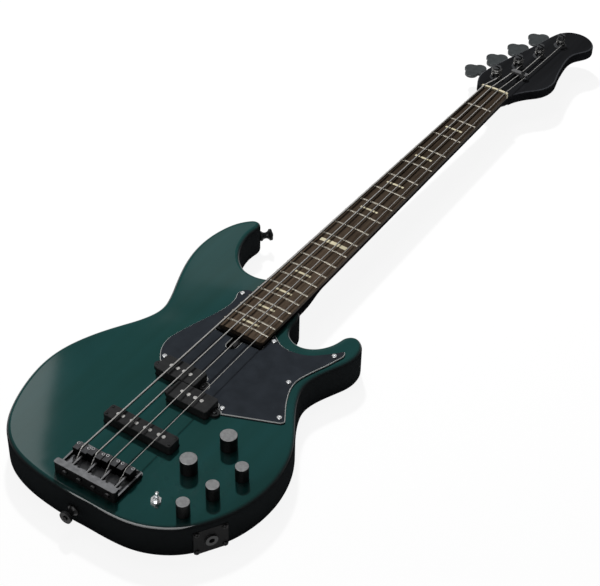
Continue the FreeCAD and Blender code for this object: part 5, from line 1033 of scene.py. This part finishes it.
class BASS_OT_stage(bpy.types.Operator):
    """Lay the pale floor, set the soft lamps and aim the camera"""

    bl_idname = "bass.stage"
    bl_label = "Stage"

    def execute(self, context):
        context.scene.view_settings.view_transform = "Standard"
        self.lay_floor()
        self.light_round(context)
        key = self.softbox("key_lamp", studio().key, **KEY_LAMP)
        key.visible_glossy = False
        overhead = self.panel("overhead_panel", studio().overhead, **OVERHEAD_PANEL)
        overhead.visible_glossy = False
        rim = self.softbox("rim_lamp", studio().rim, **RIM_LAMP)
        rim.visible_diffuse = False
        self.panel("side_panel", studio().side, **SIDE_PANEL)
        self.panel("horn_panel", studio().horn, **HORN_PANEL)
        self.aim_camera(context)
        return {"FINISHED"}

    def lay_floor(self):
        """Lay a square floor just under the back."""
        bpy.ops.object.select_all(action="DESELECT")
        bpy.ops.mesh.primitive_plane_add(size=studio().floor_size, location=(0, 0, -FLOOR_DROP))
        floor = bpy.context.active_object
        floor.name = "studio_floor"
        give(floor, self.floor_paint())

    def floor_paint(self):
        """Pale floor that is white to the eye and in reflections, and takes a faint shadow."""
        paint = bpy.data.materials.new("floor_paint")
        paint.use_nodes = True
        tree = paint.node_tree
        tree.nodes.remove(tree.nodes["Principled BSDF"])
        matt = add_node(tree, "BsdfDiffuse", Color=FLOOR_COLOUR)
        glow = add_node(tree, "Emission", Strength=FLOOR_GLOW)
        rays = add_node(tree, "LightPath").outputs
        seen = calculate(tree, "MAXIMUM", rays["Is Camera Ray"], rays["Is Glossy Ray"])
        seen = calculate(tree, "MAXIMUM", seen, rays["Is Transmission Ray"])
        share = calculate(tree, "MULTIPLY", seen, FLOOR_GLOW_SHARE)
        mix = add_node(tree, "MixShader")
        for socket, value in zip(mix.inputs, (share, matt.outputs[0], glow.outputs[0])):
            feed(tree, socket, value)
        feed(tree, tree.nodes["Material Output"].inputs["Surface"], mix.outputs[0])
        return paint

    def light_round(self, context):
        """Light the scene evenly from all round."""
        world = bpy.data.worlds.new("studio_air")
        world.use_nodes = True
        air = world.node_tree.nodes["Background"]
        air.inputs["Color"].default_value = AIR_COLOUR
        air.inputs["Strength"].default_value = studio().ambient
        context.scene.world = world

    def softbox(self, name, power, size, place, target):
        """Rectangular lamp that looks at a target."""
        bpy.ops.object.light_add(type="AREA", location=place)
        lamp = bpy.context.active_object
        lamp.name = name
        lamp.data.shape = "RECTANGLE"
        lamp.data.size, lamp.data.size_y = size
        lamp.data.energy = power
        way = Vector(target) - Vector(place)
        lamp.rotation_euler = way.to_track_quat("-Z", "Y").to_euler()
        return lamp

    def panel(self, name, power, size, place, turn):
        """Rectangular lamp that faces the floor, turned by degrees."""
        lamp = self.softbox(name, power, size, place, target=(place[0], place[1], 0.0))
        lamp.rotation_euler = (0.0, 0.0, math.radians(turn))
        return lamp

    def aim_camera(self, context):
        """Place the camera, with its turn and its lens."""
        angles = [math.radians(degrees) for degrees in CAMERA_ANGLES]
        bpy.ops.object.camera_add(location=CAMERA_PLACE, rotation=angles)
        camera = bpy.context.active_object
        camera.name = "studio_camera"
        camera.data.sensor_width = SENSOR_WIDTH
        camera.data.lens = studio().lens
        context.scene.camera = camera


STEPS = (
    BASS_OT_body,
    BASS_OT_neck,
    BASS_OT_guard,
    BASS_OT_pickups,
    BASS_OT_bridge,
    BASS_OT_strings,
    BASS_OT_tuners,
    BASS_OT_knobs,
    BASS_OT_switch,
    BASS_OT_edge,
    BASS_OT_back,
    BASS_OT_stage,
)


class BASS_PT_panel(bpy.types.Panel):
    """Sizes, colours and steps of the bass guitar"""

    bl_idname = "BASS_PT_panel"
    bl_label = "Bass Guitar"
    bl_space_type = "VIEW_3D"
    bl_region_type = "UI"
    bl_category = "Bass"

    def draw(self, context):
        for group in (colours(), sizes(), studio()):
            box = self.layout.box()
            for name in group.__annotations__:
                box.prop(group, name)
        for step in STEPS:
            self.layout.operator(step.bl_idname)


CLASSES = (BassColours, BassSizes, StudioSettings) + STEPS + (BASS_PT_panel,)


def register():
    for item in CLASSES:
        bpy.utils.register_class(item)
    bpy.types.Scene.bass_colours = bpy.props.PointerProperty(type=BassColours)
    bpy.types.Scene.bass_sizes = bpy.props.PointerProperty(type=BassSizes)
    bpy.types.Scene.bass_studio = bpy.props.PointerProperty(type=StudioSettings)


def unregister():
    del bpy.types.Scene.bass_studio
    del bpy.types.Scene.bass_sizes
    del bpy.types.Scene.bass_colours
    for item in reversed(CLASSES):
        bpy.utils.unregister_class(item)


def main():
    register()
    bpy.ops.bass.body()
    bpy.ops.bass.neck()
    bpy.ops.bass.guard()
    bpy.ops.bass.pickups()
    bpy.ops.bass.bridge()
    bpy.ops.bass.strings()
    bpy.ops.bass.tuners()
    bpy.ops.bass.knobs()
    bpy.ops.bass.switch()
    bpy.ops.bass.edge()
    bpy.ops.bass.back()
    bpy.ops.bass.stage()


if __name__ == "__main__":
    main()
